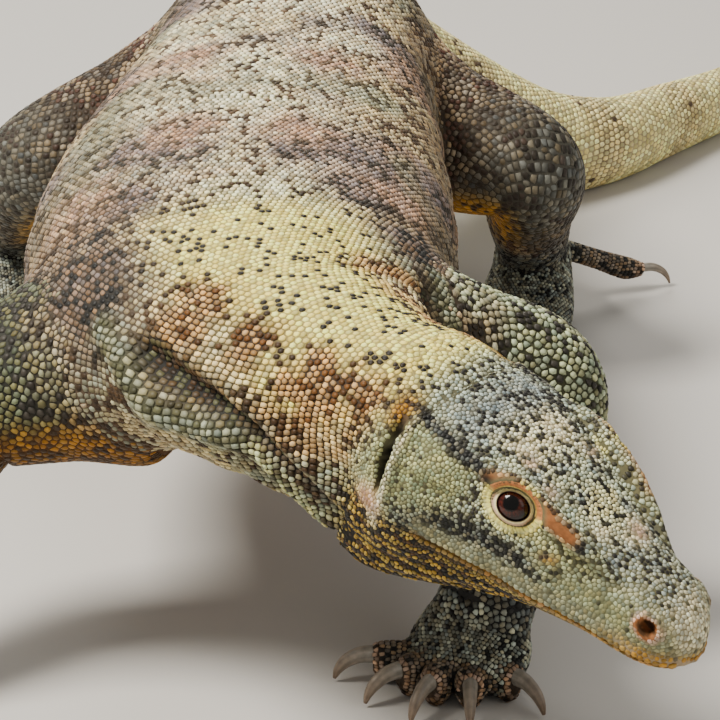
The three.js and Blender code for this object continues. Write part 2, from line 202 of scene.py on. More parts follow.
def smooth(value, low, high):
    """A soft step: 0 below low, 1 above high and a cubic in between."""
    x = np.clip((value - low) / (high - low), 0, 1)
    return x * x * (3 - 2 * x)


def bump(*scaled):
    """A round hill of height one: exp of minus the summed squares of distances given in widths."""
    return np.exp(-sum(np.square(value) for value in scaled))


# ---------------------------------------------------------------- tubes: a section carried along a path
class Tube:
    """A superellipse section carried along a Catmull-Rom path through rows of numbers.

    The surface is a function of t, the place along the rows, and s, the signed share of the half girth
    from the line along the top (0) round the left side (+1 at the bottom) or the right side (-1). At the
    angle q from the top the section's radius is (|sin q / width|^e + |cos q / height|^e)^(-1/e).
    A level tube keeps its sides level; any other hands its side from one section to the next.
    """

    def __init__(self, rows, level=True, inset=0.0, per_row=16):
        rows = np.array(rows, float)
        padded = np.vstack([2 * rows[0] - rows[1], rows, 2 * rows[-1] - rows[-2]])
        self.t = np.linspace(0, len(rows) - 1, per_row * (len(rows) - 1) + 1)
        span = np.minimum(self.t.astype(int), len(rows) - 2)
        f = (self.t - span)[:, None]
        a, b, c, d = (padded[span + k] for k in range(4))
        values = b + 0.5 * (c - a) * f + (a - 2.5 * b + 2 * c - 0.5 * d) * f**2
        values += (1.5 * (b - c) + 0.5 * (d - a)) * f**3
        self.centre = values[:, :3]
        self.sizes = np.maximum(values[:, 3:6] - inset, 0.4)
        self.square = np.clip(values[:, 6], 1.9, 4)
        tangent = unit(np.gradient(self.centre, axis=0))
        if level:
            side = unit(np.cross(tangent, [0, 0, 1.0]))
        else:
            side = np.empty_like(tangent)
            carried = np.cross(tangent[0], [0, 0, 1.0])
            for i, way in enumerate(tangent):
                carried = unit(carried - way * (carried @ way))
                side[i] = carried
        self.side, self.above = side, np.cross(side, tangent)
        steps = np.linalg.norm(np.diff(self.centre, axis=0), axis=1)
        self.run = np.concatenate([[0], np.cumsum(steps)])
        turn = np.linspace(0, np.pi, 181)
        radius = self.radius(self.sizes[:, None], self.square[:, None], turn)
        flat = np.stack([radius * np.sin(turn), radius * np.cos(turn)], -1)
        walked = np.cumsum(np.linalg.norm(np.diff(flat, axis=1), axis=2), axis=1)
        walked = np.hstack([np.zeros((len(walked), 1)), walked])
        self.half_girth = walked[:, -1]
        shares = np.linspace(0, 1, 181)
        self.turns = np.array([np.interp(shares, row / row[-1], turn) for row in walked])

    @staticmethod
    def radius(sizes, square, turn):
        """The superellipse's radius at an angle from the top."""
        across, rise = np.abs(np.sin(turn)), np.cos(turn)
        height = np.where(rise > 0, sizes[..., 1], sizes[..., 2])
        inner = (across / sizes[..., 0]) ** square + (np.abs(rise) / height) ** square
        return inner ** (-1 / square)

    def along(self, table, t):
        """A table's columns read at places t."""
        place = np.clip(t / self.t[-1] * (len(self.t) - 1), 0, len(self.t) - 1.000001)
        low = place.astype(int)
        f = (place - low).reshape(place.shape + (1,) * (table.ndim - 1))
        return table[low] * (1 - f) + table[low + 1] * f

    def point(self, t, s):
        """Centre + side * radius * sin q + above * radius * cos q, with q the turn at the girth share s."""
        t, s = np.broadcast_arrays(np.asarray(t, float), np.asarray(s, float))
        turns = self.along(self.turns, t)
        place = np.clip(np.abs(s) * 180, 0, 179.999)
        low = place.astype(int)
        pick = np.arange(t.size)
        flat = turns.reshape(t.size, -1)
        low, f = low.ravel(), (place - low).ravel()
        turn = (flat[pick, low] * (1 - f) + flat[pick, low + 1] * f).reshape(t.shape)
        centre, side, above, sizes = (
            self.along(table, t) for table in (self.centre, self.side, self.above, self.sizes))
        radius = self.radius(sizes, self.along(self.square, t), turn)
        across = np.where(s < 0, -1, 1) * radius * np.sin(turn)
        return centre + side * across[..., None] + above * (radius * np.cos(turn))[..., None]

    def frame(self, t, s):
        """The surface point with the way towards larger t and the outward normal."""
        dt, ds = 0.03, 0.012
        wrapped = [np.where(s + way > 1, s + way - 2, np.where(s + way < -1, s + way + 2, s + way))
                   for way in (-ds, ds)]
        flow = unit(self.point(np.minimum(t + dt, self.t[-1]), s) - self.point(np.maximum(t - dt, 0), s))
        round_way = self.point(t, wrapped[1]) - self.point(t, wrapped[0])
        return self.point(t, s), flow, unit(np.cross(round_way, flow))


def grid_faces(rings, around, first=0):
    """Quads between neighbouring rings of a closed grid, with a fan to a pole past each end."""
    i, j = np.meshgrid(np.arange(rings - 1), np.arange(around), indexing="ij")
    a = first + i * around + j
    b = first + i * around + (j + 1) % around
    quads = np.stack([a, b, b + around, a + around], -1).reshape(-1, 4)
    k = np.arange(around)
    start, end = first + rings * around, first + rings * around + 1
    last = first + (rings - 1) * around
    first_fan = np.stack([first + (k + 1) % around, first + k, np.full(around, start)], -1)
    last_fan = np.stack([last + k, last + (k + 1) % around, np.full(around, end)], -1)
    return quads, np.vstack([first_fan, last_fan])


def mesh_of(name, points, faces):
    """A mesh from points and faces, with its normals turned outwards."""
    mesh = bpy.data.meshes.new(name)
    mesh.from_pydata(points.tolist(), [], faces)
    work = bmesh.new()
    work.from_mesh(mesh)
    bmesh.ops.recalc_face_normals(work, faces=work.faces)
    work.to_mesh(mesh)
    work.free()
    return mesh


def closed_mesh(name, grid):
    """A mesh over a grid of rings, each end closed by a pole at its ring's middle; faces point out."""
    rings, around, _ = grid.shape
    points = np.vstack([grid.reshape(-1, 3), grid[0].mean(0), grid[-1].mean(0)])
    quads, fans = grid_faces(rings, around)
    return mesh_of(name, points, quads.tolist() + fans.tolist())


def tree_of(points):
    """A tree that finds the nearest of some points."""
    tree = kdtree.KDTree(len(points))
    for i, point in enumerate(points):
        tree.insert(point, i)
    tree.balance()
    return tree


def new_object(name, mesh):
    """An object for a mesh, linked to the scene, at the origin."""
    piece = bpy.data.objects.new(name, mesh)
    bpy.context.scene.collection.objects.link(piece)
    return piece


# ---------------------------------------------------------------- the tubes of this animal
def body_rows():
    """The head's rows, with their centres on its axis, and the body's after them."""
    head = [(*head_point(share * HEAD_LENGTH, 0, 0), *sizes) for share, *sizes in HEAD_ROWS]
    return head + BODY_ROWS


def foot_way(leg, angle):
    """A way over the floor at an angle outwards of the foot's heading."""
    turn = np.radians(leg["heading"] + angle)
    return np.array([leg["outward"] * np.sin(turn), -np.cos(turn), 0.0])


def straight_rows(start, way, length, rows, girth, lift=0.0):
    """Sections along a straight way: share of the length, height and sizes, lifted at the start."""
    return [(*(start + way * share * length)[:2], height + lift * (1 - share),
             *(size * girth for size in sizes), 2) for share, height, *sizes in rows]


def toe_starts(leg):
    """(root, way, length, girth, lift) of each toe."""
    starts = []
    for ahead, out, angle, reach, lift, girth in TOES[leg["toes"]]:
        root = np.array([*leg["middle"], 0.0]) + foot_way(leg, 0) * ahead + foot_way(leg, 90) * out
        starts.append((root, foot_way(leg, angle), reach - CLAW_REACH, girth, lift))
    return starts


BODY = Tube(body_rows(), inset=SKIN_DEPTH)
LIMBS = {}
for foot, leg in LEGS.items():
    round_rows = [(x, y, z, r, r, r, 2) for x, y, z, r in leg["rows"]]
    toes = [Tube(straight_rows(root, way, length, TOE_ROWS, girth, lift), inset=0.6)
            for root, way, length, girth, lift in toe_starts(leg)]
    LIMBS[foot] = dict(
        leg=Tube(round_rows, level=False, inset=SKIN_DEPTH), sole=Tube(leg["sole"], inset=0.8), toes=toes)


# ---------------------------------------------------------------- relief of the head and neck
def on_side(points):
    """Places on the head as (back, up, out), the same for both sides."""
    b, u, l = head_places(points)
    return np.stack([b, u, np.abs(l)], -1)


def socket_places(places):
    """Elliptical distance from the middle of the lids' opening (1 at their edge), and the way along it,
    across it and out of the eyeball, for (back, up, out) places."""
    axis = unit(np.array(EYE_AXIS))
    along = unit(LID_WAY - axis * (LID_WAY @ axis))
    rel = places - [EYE["back"], EYE["up"], EYE["out"]]
    x, y, z = rel @ along, rel @ np.cross(axis, along), rel @ axis
    return np.where(z > 0, np.hypot(x / EYE_OPENING[0], y / EYE_OPENING[1]), 9.0), x, y, z


def nostril_ring(places):
    """Elliptical distance from a nostril's slanting hole, 1 at its edge."""
    x, y = places[:, 0] - NOSTRIL["back"], places[:, 1] - NOSTRIL["up"]
    x, y = x * 0.94 + y * 0.34, y * 0.94 - x * 0.34
    return np.hypot(x / NOSTRIL["long"], y / NOSTRIL["high"])


def ear_ring(places):
    """Elliptical distance from the ear's slit, 1 at its edge."""
    b, u, _ = places.T
    return np.hypot((b - EAR["back"] - 0.22 * (u - EAR["up"])) / EAR["long"], (u - EAR["up"]) / EAR["high"])


def lip_height(places):
    """Height over the line between the lips."""
    return places[:, 1] + MOUTH["drop"] + places[:, 0] * MOUTH["slope"]


def line_distance(points, line):
    """Distance of points from a polyline, and how far along it (0 to 1) the nearest place is."""
    line = np.asarray(line, float)
    best, share = np.full(len(points), 1e9), np.zeros(len(points))
    for i in range(len(line) - 1):
        step = line[i + 1] - line[i]
        f = np.clip((points - line[i]) @ step / (step @ step), 0, 1)
        d = np.linalg.norm(points - line[i] - f[:, None] * step, axis=1)
        nearer = d < best
        best[nearer], share[nearer] = d[nearer], (i + f[nearer]) / (len(line) - 1)
    return best, share


def soft_max(x, y, width):
    """The larger of two values, rounded off over `width` where they cross."""
    return 0.5 * (x + y + np.sqrt((x - y) ** 2 + width**2))


def ridge_height(places, normals):
    """How far along its normal each place is from leaving the rounded ridge over the eye.

    With q from the nearest point of the ridge's line, whose radius there is r, the height is
    -q.n + sqrt((q.n)^2 - q.q + r^2); where the normal misses the ridge it falls away below zero.
    """
    rows = np.array(BROW_ROWS, float)
    _, share = line_distance(places, rows[:, :3])
    at = share * (len(rows) - 1)
    line = np.stack([np.interp(at, np.arange(len(rows)), rows[:, k]) for k in range(4)], -1)
    q = places - line[:, :3]
    along = np.einsum("ij,ij->i", q, normals)
    room = along**2 - np.einsum("ij,ij->i", q, q) + (line[:, 3] - SKIN_DEPTH) ** 2
    return -along + np.where(room > 0, np.sqrt(np.abs(room)), -1.5 * np.sqrt(np.abs(room)))


def lid_rise(places, normals, rise):
    """Fits the skin over the eyeball: no lower than the lids that hug the ball, and no higher round the
    opening than a slope that climbs away from it."""
    facing = np.clip(normals @ unit(np.array(EYE_AXIS)), 0.5, 1)
    hug = EYE["radius"] + LID_DEPTH
    for _ in range(4):
        ring, x, y, z = socket_places(places + normals * rise[:, None])
        d = x**2 + y**2
        ball = np.sqrt(np.maximum(hug**2 - d, 1.0)) - 3 * np.maximum(ring - 1.3, 0)
        edge = np.sqrt(np.maximum(hug**2 - d * np.minimum(1.08 / np.maximum(ring, 0.1), 1) ** 2, 1.0))
        slope = edge + (9 + 6 * smooth(y, -2, 5)) * np.maximum(ring - 1.1, 0)
        fitted = -soft_max(-soft_max(z, ball, 0.8), -slope, 0.8)
        rise = rise + (fitted - z) / facing * (1 - smooth(ring, 2.3, 2.8))
    ring = socket_places(places + normals * rise[:, None])[0]
    return rise - 5.5 * (1 - smooth(ring, 0.86, 1.0))


def head_relief(points, normals):
    """Height over the plain section, as a sum of round hills, hollows, ridges and creases placed by
    (back, up, out) on the head, the same on both sides."""
    places = on_side(points)
    b, u, out = places.T
    side = np.sign((points - SNOUT_TIP) @ LEFT)
    facing = np.stack([normals @ BACK, normals @ CROWN, normals @ LEFT * side], -1)
    rise = np.zeros(len(points))
    # the edge from the ridge over the eye to the nostril, and from the ridge back over the temple
    canthus, _ = line_distance(places, CANTHUS_LINE)
    rise += 1.4 * bump(canthus / 5.0)
    temple, _ = line_distance(places, TEMPLE_LINE)
    rise += 1.8 * bump(temple / 6.5)
    # hollows: before the eye, along the middle of the snout, between and behind the eyes
    rise -= 2.6 * bump((b - 64) / 24, (u - 13) / 8, (out - 33) / 14)
    rise -= 1.6 * bump((b - 62) / 34, out / 9) * smooth(u, 8, 22)
    rise -= 2.2 * bump((b - 112) / 30, (out - 14) / 13) * smooth(u, 8, 22)
    groove, _ = line_distance(places, GROOVE_LINE)
    rise -= 2.2 * bump(groove / 4.6)
    # jaw muscle, ending in a raised edge before the ear
    rise += 5.0 * bump((b - 155) / 20, (u + 6) / 26) * smooth(out, 26, 44)
    rise += 2.4 * bump((b - 152) / 17, (u - 24) / 12) * smooth(out, 26, 40)
    sides = smooth(out, 28, 38)
    slit = ear_ring(places)
    past = b - EAR["back"] - 0.22 * (u - EAR["up"])
    rise += 4.2 * bump((past + 6) / 4.5, (u - EAR["up"]) / 21) * sides
    rise += 2.4 * bump((past - 8) / 4.5, (u - EAR["up"]) / 17) * sides
    rise -= 8.0 * (1 - smooth(slit, 0.6, 1.25)) * sides
    rise += 2.4 * bump((b - 172) / 8, (u + 12) / 6) * sides
    # nostril: a swelling with a raised rim round a slanting hole
    ring = nostril_ring(places)
    tip = smooth(out, 8, 16)
    rise += tip * (2.2 * bump(ring / 2.6) + 1.5 * bump((ring - 1.42) / 0.4))
    rise -= tip * 6.5 * (1 - smooth(ring, 0.5, 1.1))
    # lips
    edge = lip_height(places)
    lips = 1 - smooth(b, MOUTH["corner"] - 8, MOUTH["corner"] + 4)
    rise += lips * (1.0 * bump((edge - 3.0) / 2.6) - 1.3 * bump(edge / 0.9) + 0.5 * bump((edge + 3.4) / 2.4))
    rise -= lips * 1.5 * smooth(-edge, 0, 1.4) * (1 - smooth(-edge, 10, 24))
    corner = bump((b - MOUTH["corner"] - 2) / 7, (edge + 1) / 4)
    rise -= 1.6 * corner * smooth(out, 26, 40)
    # folds along the throat
    below = smooth(-u, 18, 40)
    rise += below * 1.5 * np.sin(out * 0.62 + 0.5 * np.sin(b * 0.07)) * smooth(b, 50, 90)
    rise = soft_max(rise, ridge_height(places, facing), 2.0)
    rise = np.where(b < 150, lid_rise(places, facing, rise), rise)
    return rise * (1 - smooth(b, 190, 214))


def body_relief(points, t, s):
    """Height over the plain section behind the head: rolls and creases of the neck, folds of the
    flanks and a fine unevenness, as functions of place along the body (t) and round it (s)."""
    rise = np.zeros(len(points))
    mirrored = BODY.point(t, -s)
    for line, height, width in NECK_FOLDS:
        for side_points in (points, mirrored):
            d, share = line_distance(side_points, line)
            rise += height * bump(d / width) * (0.45 + 0.55 * np.sin(np.pi * (0.12 + 0.76 * share)))
    behind_head = smooth(t, NECK_START - 0.6, NECK_START + 0.4)
    folds = behind_head * (1 - smooth(t, TAIL_START - 1, TAIL_START + 0.5)) * smooth(np.abs(s), 0.3, 0.55)
    y = points[:, 1]
    rise += folds * 1.6 * np.sin(y * 0.105 + 3.0 * np.sin(s * 7 + 0.4) + 0.8 * np.sin(y * 0.031))
    rise += folds * 0.9 * np.sin(y * 0.23 + 5.0 * s + 1.2 * np.sin(s * 13))
    throat = behind_head * smooth(np.abs(s), 0.62, 0.8) * (1 - smooth(t, TRUNK_START - 1, TRUNK_START + 1))
    rise += throat * 1.5 * np.sin(np.abs(s) * 62 + 0.8 * np.sin(y * 0.04))
    return rise


def from_row(x, y, z):
    """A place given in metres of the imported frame, in millimetres of the modeller's."""
    return np.array([x, y, z]) * 1000 + BOX_MIDDLE


def solids_tree():
    """The frame's solids without the claws, as one tree of faces in metres."""
    points, faces = [], []
    for name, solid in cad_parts.items():
        if "claw" in name:
            continue
        first = len(points)
        points += [solid.matrix_world @ vertex.co for vertex in solid.data.vertices]
        faces += [[first + corner for corner in face.vertices] for face in solid.data.polygons]
    return BVHTree.FromPolygons(points, faces)


SOLIDS = solids_tree()


def seen_at(column, row):
    """The place on the solids, in metres, that the camera sees at a column and a row of its view: the
    first crossing of the ray camera + distance * (ahead + right * x + above * y)."""
    step = SENSOR_WIDTH / LENS / VIEW_SIZE
    x, y = (column - VIEW_SIZE / 2) * step, (VIEW_SIZE / 2 - row) * step
    tilt = np.radians(CAMERA_TILT)
    ray = (x, np.sin(tilt) + y * np.cos(tilt), y * np.sin(tilt) - np.cos(tilt))
    return np.array(SOLIDS.ray_cast(Vector(CAMERA_PLACE), Vector(ray).normalized())[0])


def body_mark(mark):
    """A marked place of the body: a pair is a column and a row of the camera's view, taken to the nearest
    millimetre of what is seen there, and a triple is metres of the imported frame."""
    return from_row(*(np.round(seen_at(*mark), 3) if len(mark) == 2 else mark))


def head_mark(mark):
    """A marked place of the head as back, up and left: a pair is a column and a row of the head's view,
    taken to a tenth of a millimetre of what is seen there, and a triple is the place itself."""
    if len(mark) == 3:
        return mark
    column, row = (start + step / HEAD_VIEW["enlarged"] for start, step in zip(HEAD_VIEW["corner"], mark))
    return np.round(head_places(from_row(*seen_at(column, row))), 1)


THROAT_ROLL = [body_mark(mark) for mark in (
    (108, 331), (125, 360), (143, 393), (163, 412), (203, 428), (235, 440))]
POUCH_ROLL = [body_mark(mark) for mark in ((256, 450), (276, 472), (299, 497), (326, 522))]
NECK_CREASE = [body_mark(mark) for mark in (
    (150, 347), (170, 362), (192, 378), (221, 401), (254, 428), (281, 452), (310, 480), (338, 508))]
NECK_EDGE = [p + CROWN * 6 for p in NECK_CREASE]
NECK_HOLLOW = [p - CROWN * 6 for p in NECK_CREASE[:5]]
# Each fold's line, its height over the plain section and its width.
NECK_FOLDS = [(THROAT_ROLL, 8.0, 8.5), (POUCH_ROLL, 4.0, 8.0), (NECK_EDGE, 3.5, 7.0),
              (NECK_CREASE, -5.0, 4.4), (NECK_HOLLOW, -10.0, 7.5)]


# ---------------------------------------------------------------- grids over the tubes
class Grid:
    """Rings of points over a tube, with their (t, s) and neighbours, closed by a pole at each end.

    A ring at t has points at signed shares s of the half girth; each later stretch may carry half as
    many points round as the one before it.
    """

    def __init__(self, tube, stretches, warp=None):
        self.tube = tube
        rings, last = [], None
        for start, end, spacing, around in stretches:
            a, b = np.interp([start, end], tube.t, tube.run)
            count = max(2, int(round((b - a) / spacing)))
            places = np.interp(np.linspace(a, b, count + 1), tube.run, tube.t)
            for t in places if last is None else places[1:]:
                rings.append((t, around))
            last = around
        self.rings = rings
        t, s, first = [], [], [0]
        for place, around in rings:
            u = (np.arange(around) * 2 / around) - 1
            t.append(np.full(around, place))
            s.append(u if warp is None else warp(place, u))
            first.append(first[-1] + around)
        t.append([rings[0][0], rings[-1][0]])
        s.append([0.0, 0.0])
        self.t, self.s, self.first = np.concatenate(t), np.concatenate(s), first
        self.poles = (first[-1], first[-1] + 1)

    def faces(self):
        """Quads between rings of the same count, pentagons where the count halves, fans at the poles."""
        found = []
        for i in range(len(self.rings) - 1):
            here, there = self.first[i], self.first[i + 1]
            m, n = self.rings[i][1], self.rings[i + 1][1]
            k = np.arange(n)
            if m == n:
                found += np.stack([here + k, here + (k + 1) % m, there + (k + 1) % n, there + k], -1).tolist()
            else:
                found += np.stack([here + 2 * k, here + 2 * k + 1, here + (2 * k + 2) % m,
                                   there + (k + 1) % n, there + k], -1).tolist()
        for ring, pole, turn in ((0, self.poles[0], 1), (-1, self.poles[1], -1)):
            start = self.first[0] if ring == 0 else self.first[-2]
            n = self.rings[ring][1]
            k = np.arange(n)
            found += np.stack([np.full(n, pole), start + (k + 1) % n, start + k][::turn], -1).tolist()
        return found

    def base(self):
        """The plain points and outward normals of the tube at the grid's places, poles at ring middles."""
        points, _, normals = self.tube.frame(self.t, self.s)
        points, normals = points.copy(), normals.copy()
        for ring, pole, way in ((0, self.poles[0], -1), (len(self.rings) - 1, self.poles[1], 1)):
            a, b = self.first[ring], self.first[ring + 1]
            points[pole] = points[a:b].mean(0)
            normals[pole] = unit(np.gradient(self.tube.centre, axis=0)[0 if way < 0 else -1]) * way
        return points, normals


def signed_distance(tree, points, reach):
    """Distance of each point from a closed surface, negative inside it; beyond `reach` it is `reach`."""
    found = [tree.find_nearest(Vector(p), reach) for p in points]
    out = np.full(len(points), float(reach))
    for i, (place, normal, _, d) in enumerate(found):
        if place is not None:
            out[i] = d if (Vector(points[i]) - place).dot(normal) >= 0 else -d
    return out


class Shape:
    """One closed surface of the animal before the join: its grid, plain points and tree."""

    def __init__(self, name, tube, stretches, relief=None, warp=None):
        self.name, self.tube = name, tube
        self.grid = Grid(tube, stretches, warp)
        self.points, self.normals = self.grid.base()
        self.faces = self.grid.faces()
        if relief is not None:
            rise = relief(self.points, self.normals, self.grid.t, self.grid.s)
            self.points = self.points + self.normals * rise[:, None]
        self.tree = BVHTree.FromPolygons(self.points.tolist(), self.faces)
        self.low, self.high = self.points.min(0), self.points.max(0)
        self.push = np.zeros(len(self.points))

    def swell_near(self, other, width):
        """Swells this surface by width/4 * (1 - d/width)^2 at distance d from the other one, which is
        how two smoothly joined rounds meet."""
        near = np.all((self.points > other.low - width) & (self.points < other.high + width), axis=1)
        where = np.flatnonzero(near)
        d = signed_distance(other.tree, self.points[where], width)
        self.push[where] = np.maximum(self.push[where], width / 4 * (1 - np.abs(d) / width) ** 2)

    def mesh(self):
        """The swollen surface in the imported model's frame."""
        points = self.points + self.normals * self.push[:, None]
        return mesh_of(self.name, to_row(points), self.faces)


# ---------------------------------------------------------------- the surfaces before the join
def head_warp(t, u):
    """Shares of the half girth for even steps u: closer together at the eyes and lips on the head."""
    shares = np.linspace(0, 1, 401)
    crowd = 1 + 1.3 * bump((shares - 0.31) / 0.11) + 1.1 * bump((shares - 0.575) / 0.07)
    crowd = np.concatenate([[0], np.cumsum(crowd[1:] + crowd[:-1])])
    crowded = np.interp(np.abs(u), crowd / crowd[-1], shares)
    on_head = 1 - smooth(np.array(t), NECK_START - 1.5, NECK_START + 1)
    return np.sign(u) * (np.abs(u) * (1 - on_head) + crowded * on_head)


def whole_relief(points, normals, t, s):
    """The head's relief in front and the body's behind it."""
    return head_relief(points, normals) * (t < NECK_START + 1) + body_relief(points, t, s)


def build_shapes():
    """The body, and for each limb its leg, sole and toes."""
    end = BODY.t[-1]
    shapes = {"body": Shape(
        "body", BODY,
        [(0, 6.4, 1.7, 192), (6.4, 9.4, 1.0, 192), (9.4, NECK_START, 1.6, 192),
         (NECK_START, TRUNK_START, 3.0, 192), (TRUNK_START, TAIL_START, 5.5, 96), (TAIL_START, end, 9.0, 48)],
        whole_relief, head_warp)}
    for foot, limb in LIMBS.items():
        shapes[foot + " leg"] = Shape(foot + " leg", limb["leg"], [(0, limb["leg"].t[-1], 4.5, 56)])
        shapes[foot + " sole"] = Shape(foot + " sole", limb["sole"], [(0, limb["sole"].t[-1], 2.4, 56)])
        for i, toe in enumerate(limb["toes"]):
            name = f"{foot} toe {i + 1}"
            shapes[name] = Shape(name, toe, [(0, toe.t[-1], 2.2, 28)])
    for foot, leg in LEGS.items():
        trunk_join = SHOULDER_JOIN if leg["toes"] == "fore" else HIP_JOIN
        joins = [("body", foot + " leg", trunk_join), (foot + " leg", foot + " sole", ANKLE_JOIN)]
        joins += [(foot + " sole", f"{foot} toe {i}", TOE_JOIN) for i in range(1, 6)]
        for one, other, width in joins:
            shapes[one].swell_near(shapes[other], width)
            shapes[other].swell_near(shapes[one], width)
    return shapes


def join(shapes):
    """One closed mesh from all the surfaces, its seams eased."""
    pieces = [new_object(shape.name, shape.mesh()) for shape in shapes.values()]
    old = np.vstack([shape.points + shape.normals * shape.push[:, None] for shape in shapes.values()])
    others = bpy.data.collections.new("joined")
    for piece in pieces[1:]:
        others.objects.link(piece)
    union = pieces[0].modifiers.new("join", "BOOLEAN")
    union.operation, union.solver = "UNION", "MANIFOLD"
    union.operand_type, union.collection = "COLLECTION", others
    depsgraph = bpy.context.evaluated_depsgraph_get()
    mesh = bpy.data.meshes.new_from_object(pieces[0].evaluated_get(depsgraph))
    mesh.materials.clear()
    mesh.polygons.foreach_set("material_index", np.zeros(len(mesh.polygons), np.int32))
    for piece in pieces:
        bpy.data.meshes.remove(piece.data)
    bpy.data.collections.remove(others)
    ease_seams(mesh, to_row(old))
    return mesh


def coordinates(mesh):
    """A mesh's vertex places."""
    flat = np.empty(len(mesh.vertices) * 3, np.float32)
    mesh.vertices.foreach_get("co", flat)
    return flat.reshape(-1, 3).astype(float)


def ease_seams(mesh, old):
    """Moves vertices near a seam towards the mean of their neighbours, more the nearer they are. The
    seam's vertices are those that no surface had before the join."""
    points = coordinates(mesh)
    tree = tree_of(old)
    new = np.array([tree.find(p)[2] > 2e-6 for p in points])
    seam = tree_of(points[new])
    d = np.array([seam.find(p)[2] for p in points])
    edges = np.empty(len(mesh.edges) * 2, np.int32)
    mesh.edges.foreach_get("vertices", edges)
    a, b = edges.reshape(-1, 2).T
    count = np.bincount(a, minlength=len(points)) + np.bincount(b, minlength=len(points))
    on_feet = points[:, 2] < 0.048
    weight = np.where(on_feet, 1 - smooth(d, 0.0015, 0.005), 1 - smooth(d, 0.006, 0.026))
    for _ in range(14):
        mean = np.stack([np.bincount(a, points[b, k], len(points)) + np.bincount(b, points[a, k], len(points))
                         for k in range(3)], -1) / np.maximum(count, 1)[:, None]
        points += (mean - points) * (0.6 * weight)[:, None]
    points[:, 2] = np.maximum(points[:, 2], SOLE_LIFT / 1000)
    mesh.vertices.foreach_set("co", points.astype(np.float32).ravel())
    mesh.update()


class Skin:
    """The joined mesh with what is needed to read its surface near any place."""

    def __init__(self, mesh):
        self.mesh = mesh
        mesh.calc_loop_triangles()
        self.points = coordinates(mesh) * 1000 + BOX_MIDDLE
        corners = np.empty(len(mesh.loop_triangles) * 3, np.int32)
        mesh.loop_triangles.foreach_get("vertices", corners)
        self.triangles = corners.reshape(-1, 3)
        normals = np.empty(len(mesh.vertices) * 3, np.float32)
        mesh.vertices.foreach_get("normal", normals)
        self.normals = normals.reshape(-1, 3).astype(float)
        self.tree = BVHTree.FromPolygons(self.points.tolist(), self.triangles.tolist())

    def nearest(self, points):
        """The nearest skin places with their smooth normals."""
        found = [self.tree.find_nearest(Vector(p)) for p in points]
        places = np.array([f[0] for f in found])
        chosen = self.triangles[[f[2] for f in found]]
        a, b, c = (self.points[chosen[:, k]] for k in range(3))
        whole = np.cross(b - a, c - a)
        size = np.maximum(np.einsum("ij,ij->i", whole, whole), 1e-12)
        wa = np.einsum("ij,ij->i", np.cross(b - places, c - places), whole) / size
        wb = np.einsum("ij,ij->i", np.cross(c - places, a - places), whole) / size
        weights = np.clip(np.stack([wa, wb, 1 - wa - wb], -1), 0, 1)
        normals = unit((self.normals[chosen] * weights[..., None]).sum(1))
        return places, normals


# ---------------------------------------------------------------- tones and markings
TONES = {name: np.array(value, float) for name, value in dict(
    ivory=(254, 244, 182), cream=(240, 231, 194), straw=(255, 240, 128), yellow=(206, 188, 110),
    mustard=(172, 142, 60), lime=(190, 192, 138), sand=(212, 194, 148), tan=(190, 166, 132),
    rosy=(190, 154, 128), rust=(202, 160, 104), ochre=(172, 122, 34), orange=(196, 124, 70),
    mauve=(132, 118, 114), taupe=(118, 96, 76), umber=(92, 74, 56), dark_rust=(96, 62, 28),
    brown=(66, 48, 30), black=(26, 23, 19), sage=(200, 208, 178), green=(158, 166, 120),
    grey_green=(152, 154, 126), olive=(124, 120, 84), moss=(82, 82, 58), steel=(148, 158, 154),
    slate=(104, 104, 94), dark_slate=(52, 49, 44), night=(30, 30, 29), ash=(168, 172, 154),
    pink=(206, 166, 142), maroon=(92, 56, 46), horn=(150, 150, 143)).items()}


def linear(colours):
    """Display values of 0 to 255 as linear light."""
    c = np.clip(np.asarray(colours, float) / 255, 0, 1)
    return np.where(c <= 0.04045, c / 12.92, ((c + 0.055) / 1.055) ** 2.4)


LATTICE = chance.uniform(-1, 1, (24, 24, 24))


def cloudy(points, size):
    """Smooth chance values between -1 and 1 that change over about `size` millimetres."""
    p = points / size + 100
    low = np.floor(p).astype(int)
    f = p - low
    f = f * f * (3 - 2 * f)
    total = np.zeros(len(points))
    for i in (0, 1):
        for j in (0, 1):
            for k in (0, 1):
                corner = LATTICE[(low[:, 0] + i) % 24, (low[:, 1] + j) % 24, (low[:, 2] + k) % 24]
                share = (f[:, 0] if i else 1 - f[:, 0]) * (f[:, 1] if j else 1 - f[:, 1])
                total += corner * share * (f[:, 2] if k else 1 - f[:, 2])
    return total


class Paint:
    """Scale tone, gap tone, and share and tone of dark scales at many places, laid on a marking at a
    time."""

    def __init__(self, count):
        self.scale, self.gap, self.spot = (np.zeros((count, 3)) for _ in range(3))
        self.dark = np.zeros(count)

    def lay(self, weight, scale, gap, dark, spot=None):
        """Moves every place towards a marking's tones by its weight there."""
        weight = np.clip(weight, 0, 1)[:, None]
        self.scale += (TONES[scale] - self.scale) * weight
        self.gap += (TONES[gap] - self.gap) * weight
        self.spot += ((TONES[spot] if spot else TONES[gap] * 0.55) - self.spot) * weight
        self.dark += (dark - self.dark) * weight[:, 0]


def near(points, mirrored, place, size):
    """Round weight about a marked place on either side of the body."""
    d = np.minimum(np.linalg.norm(points - place, axis=1), np.linalg.norm(mirrored - place, axis=1))
    return bump(d / size)


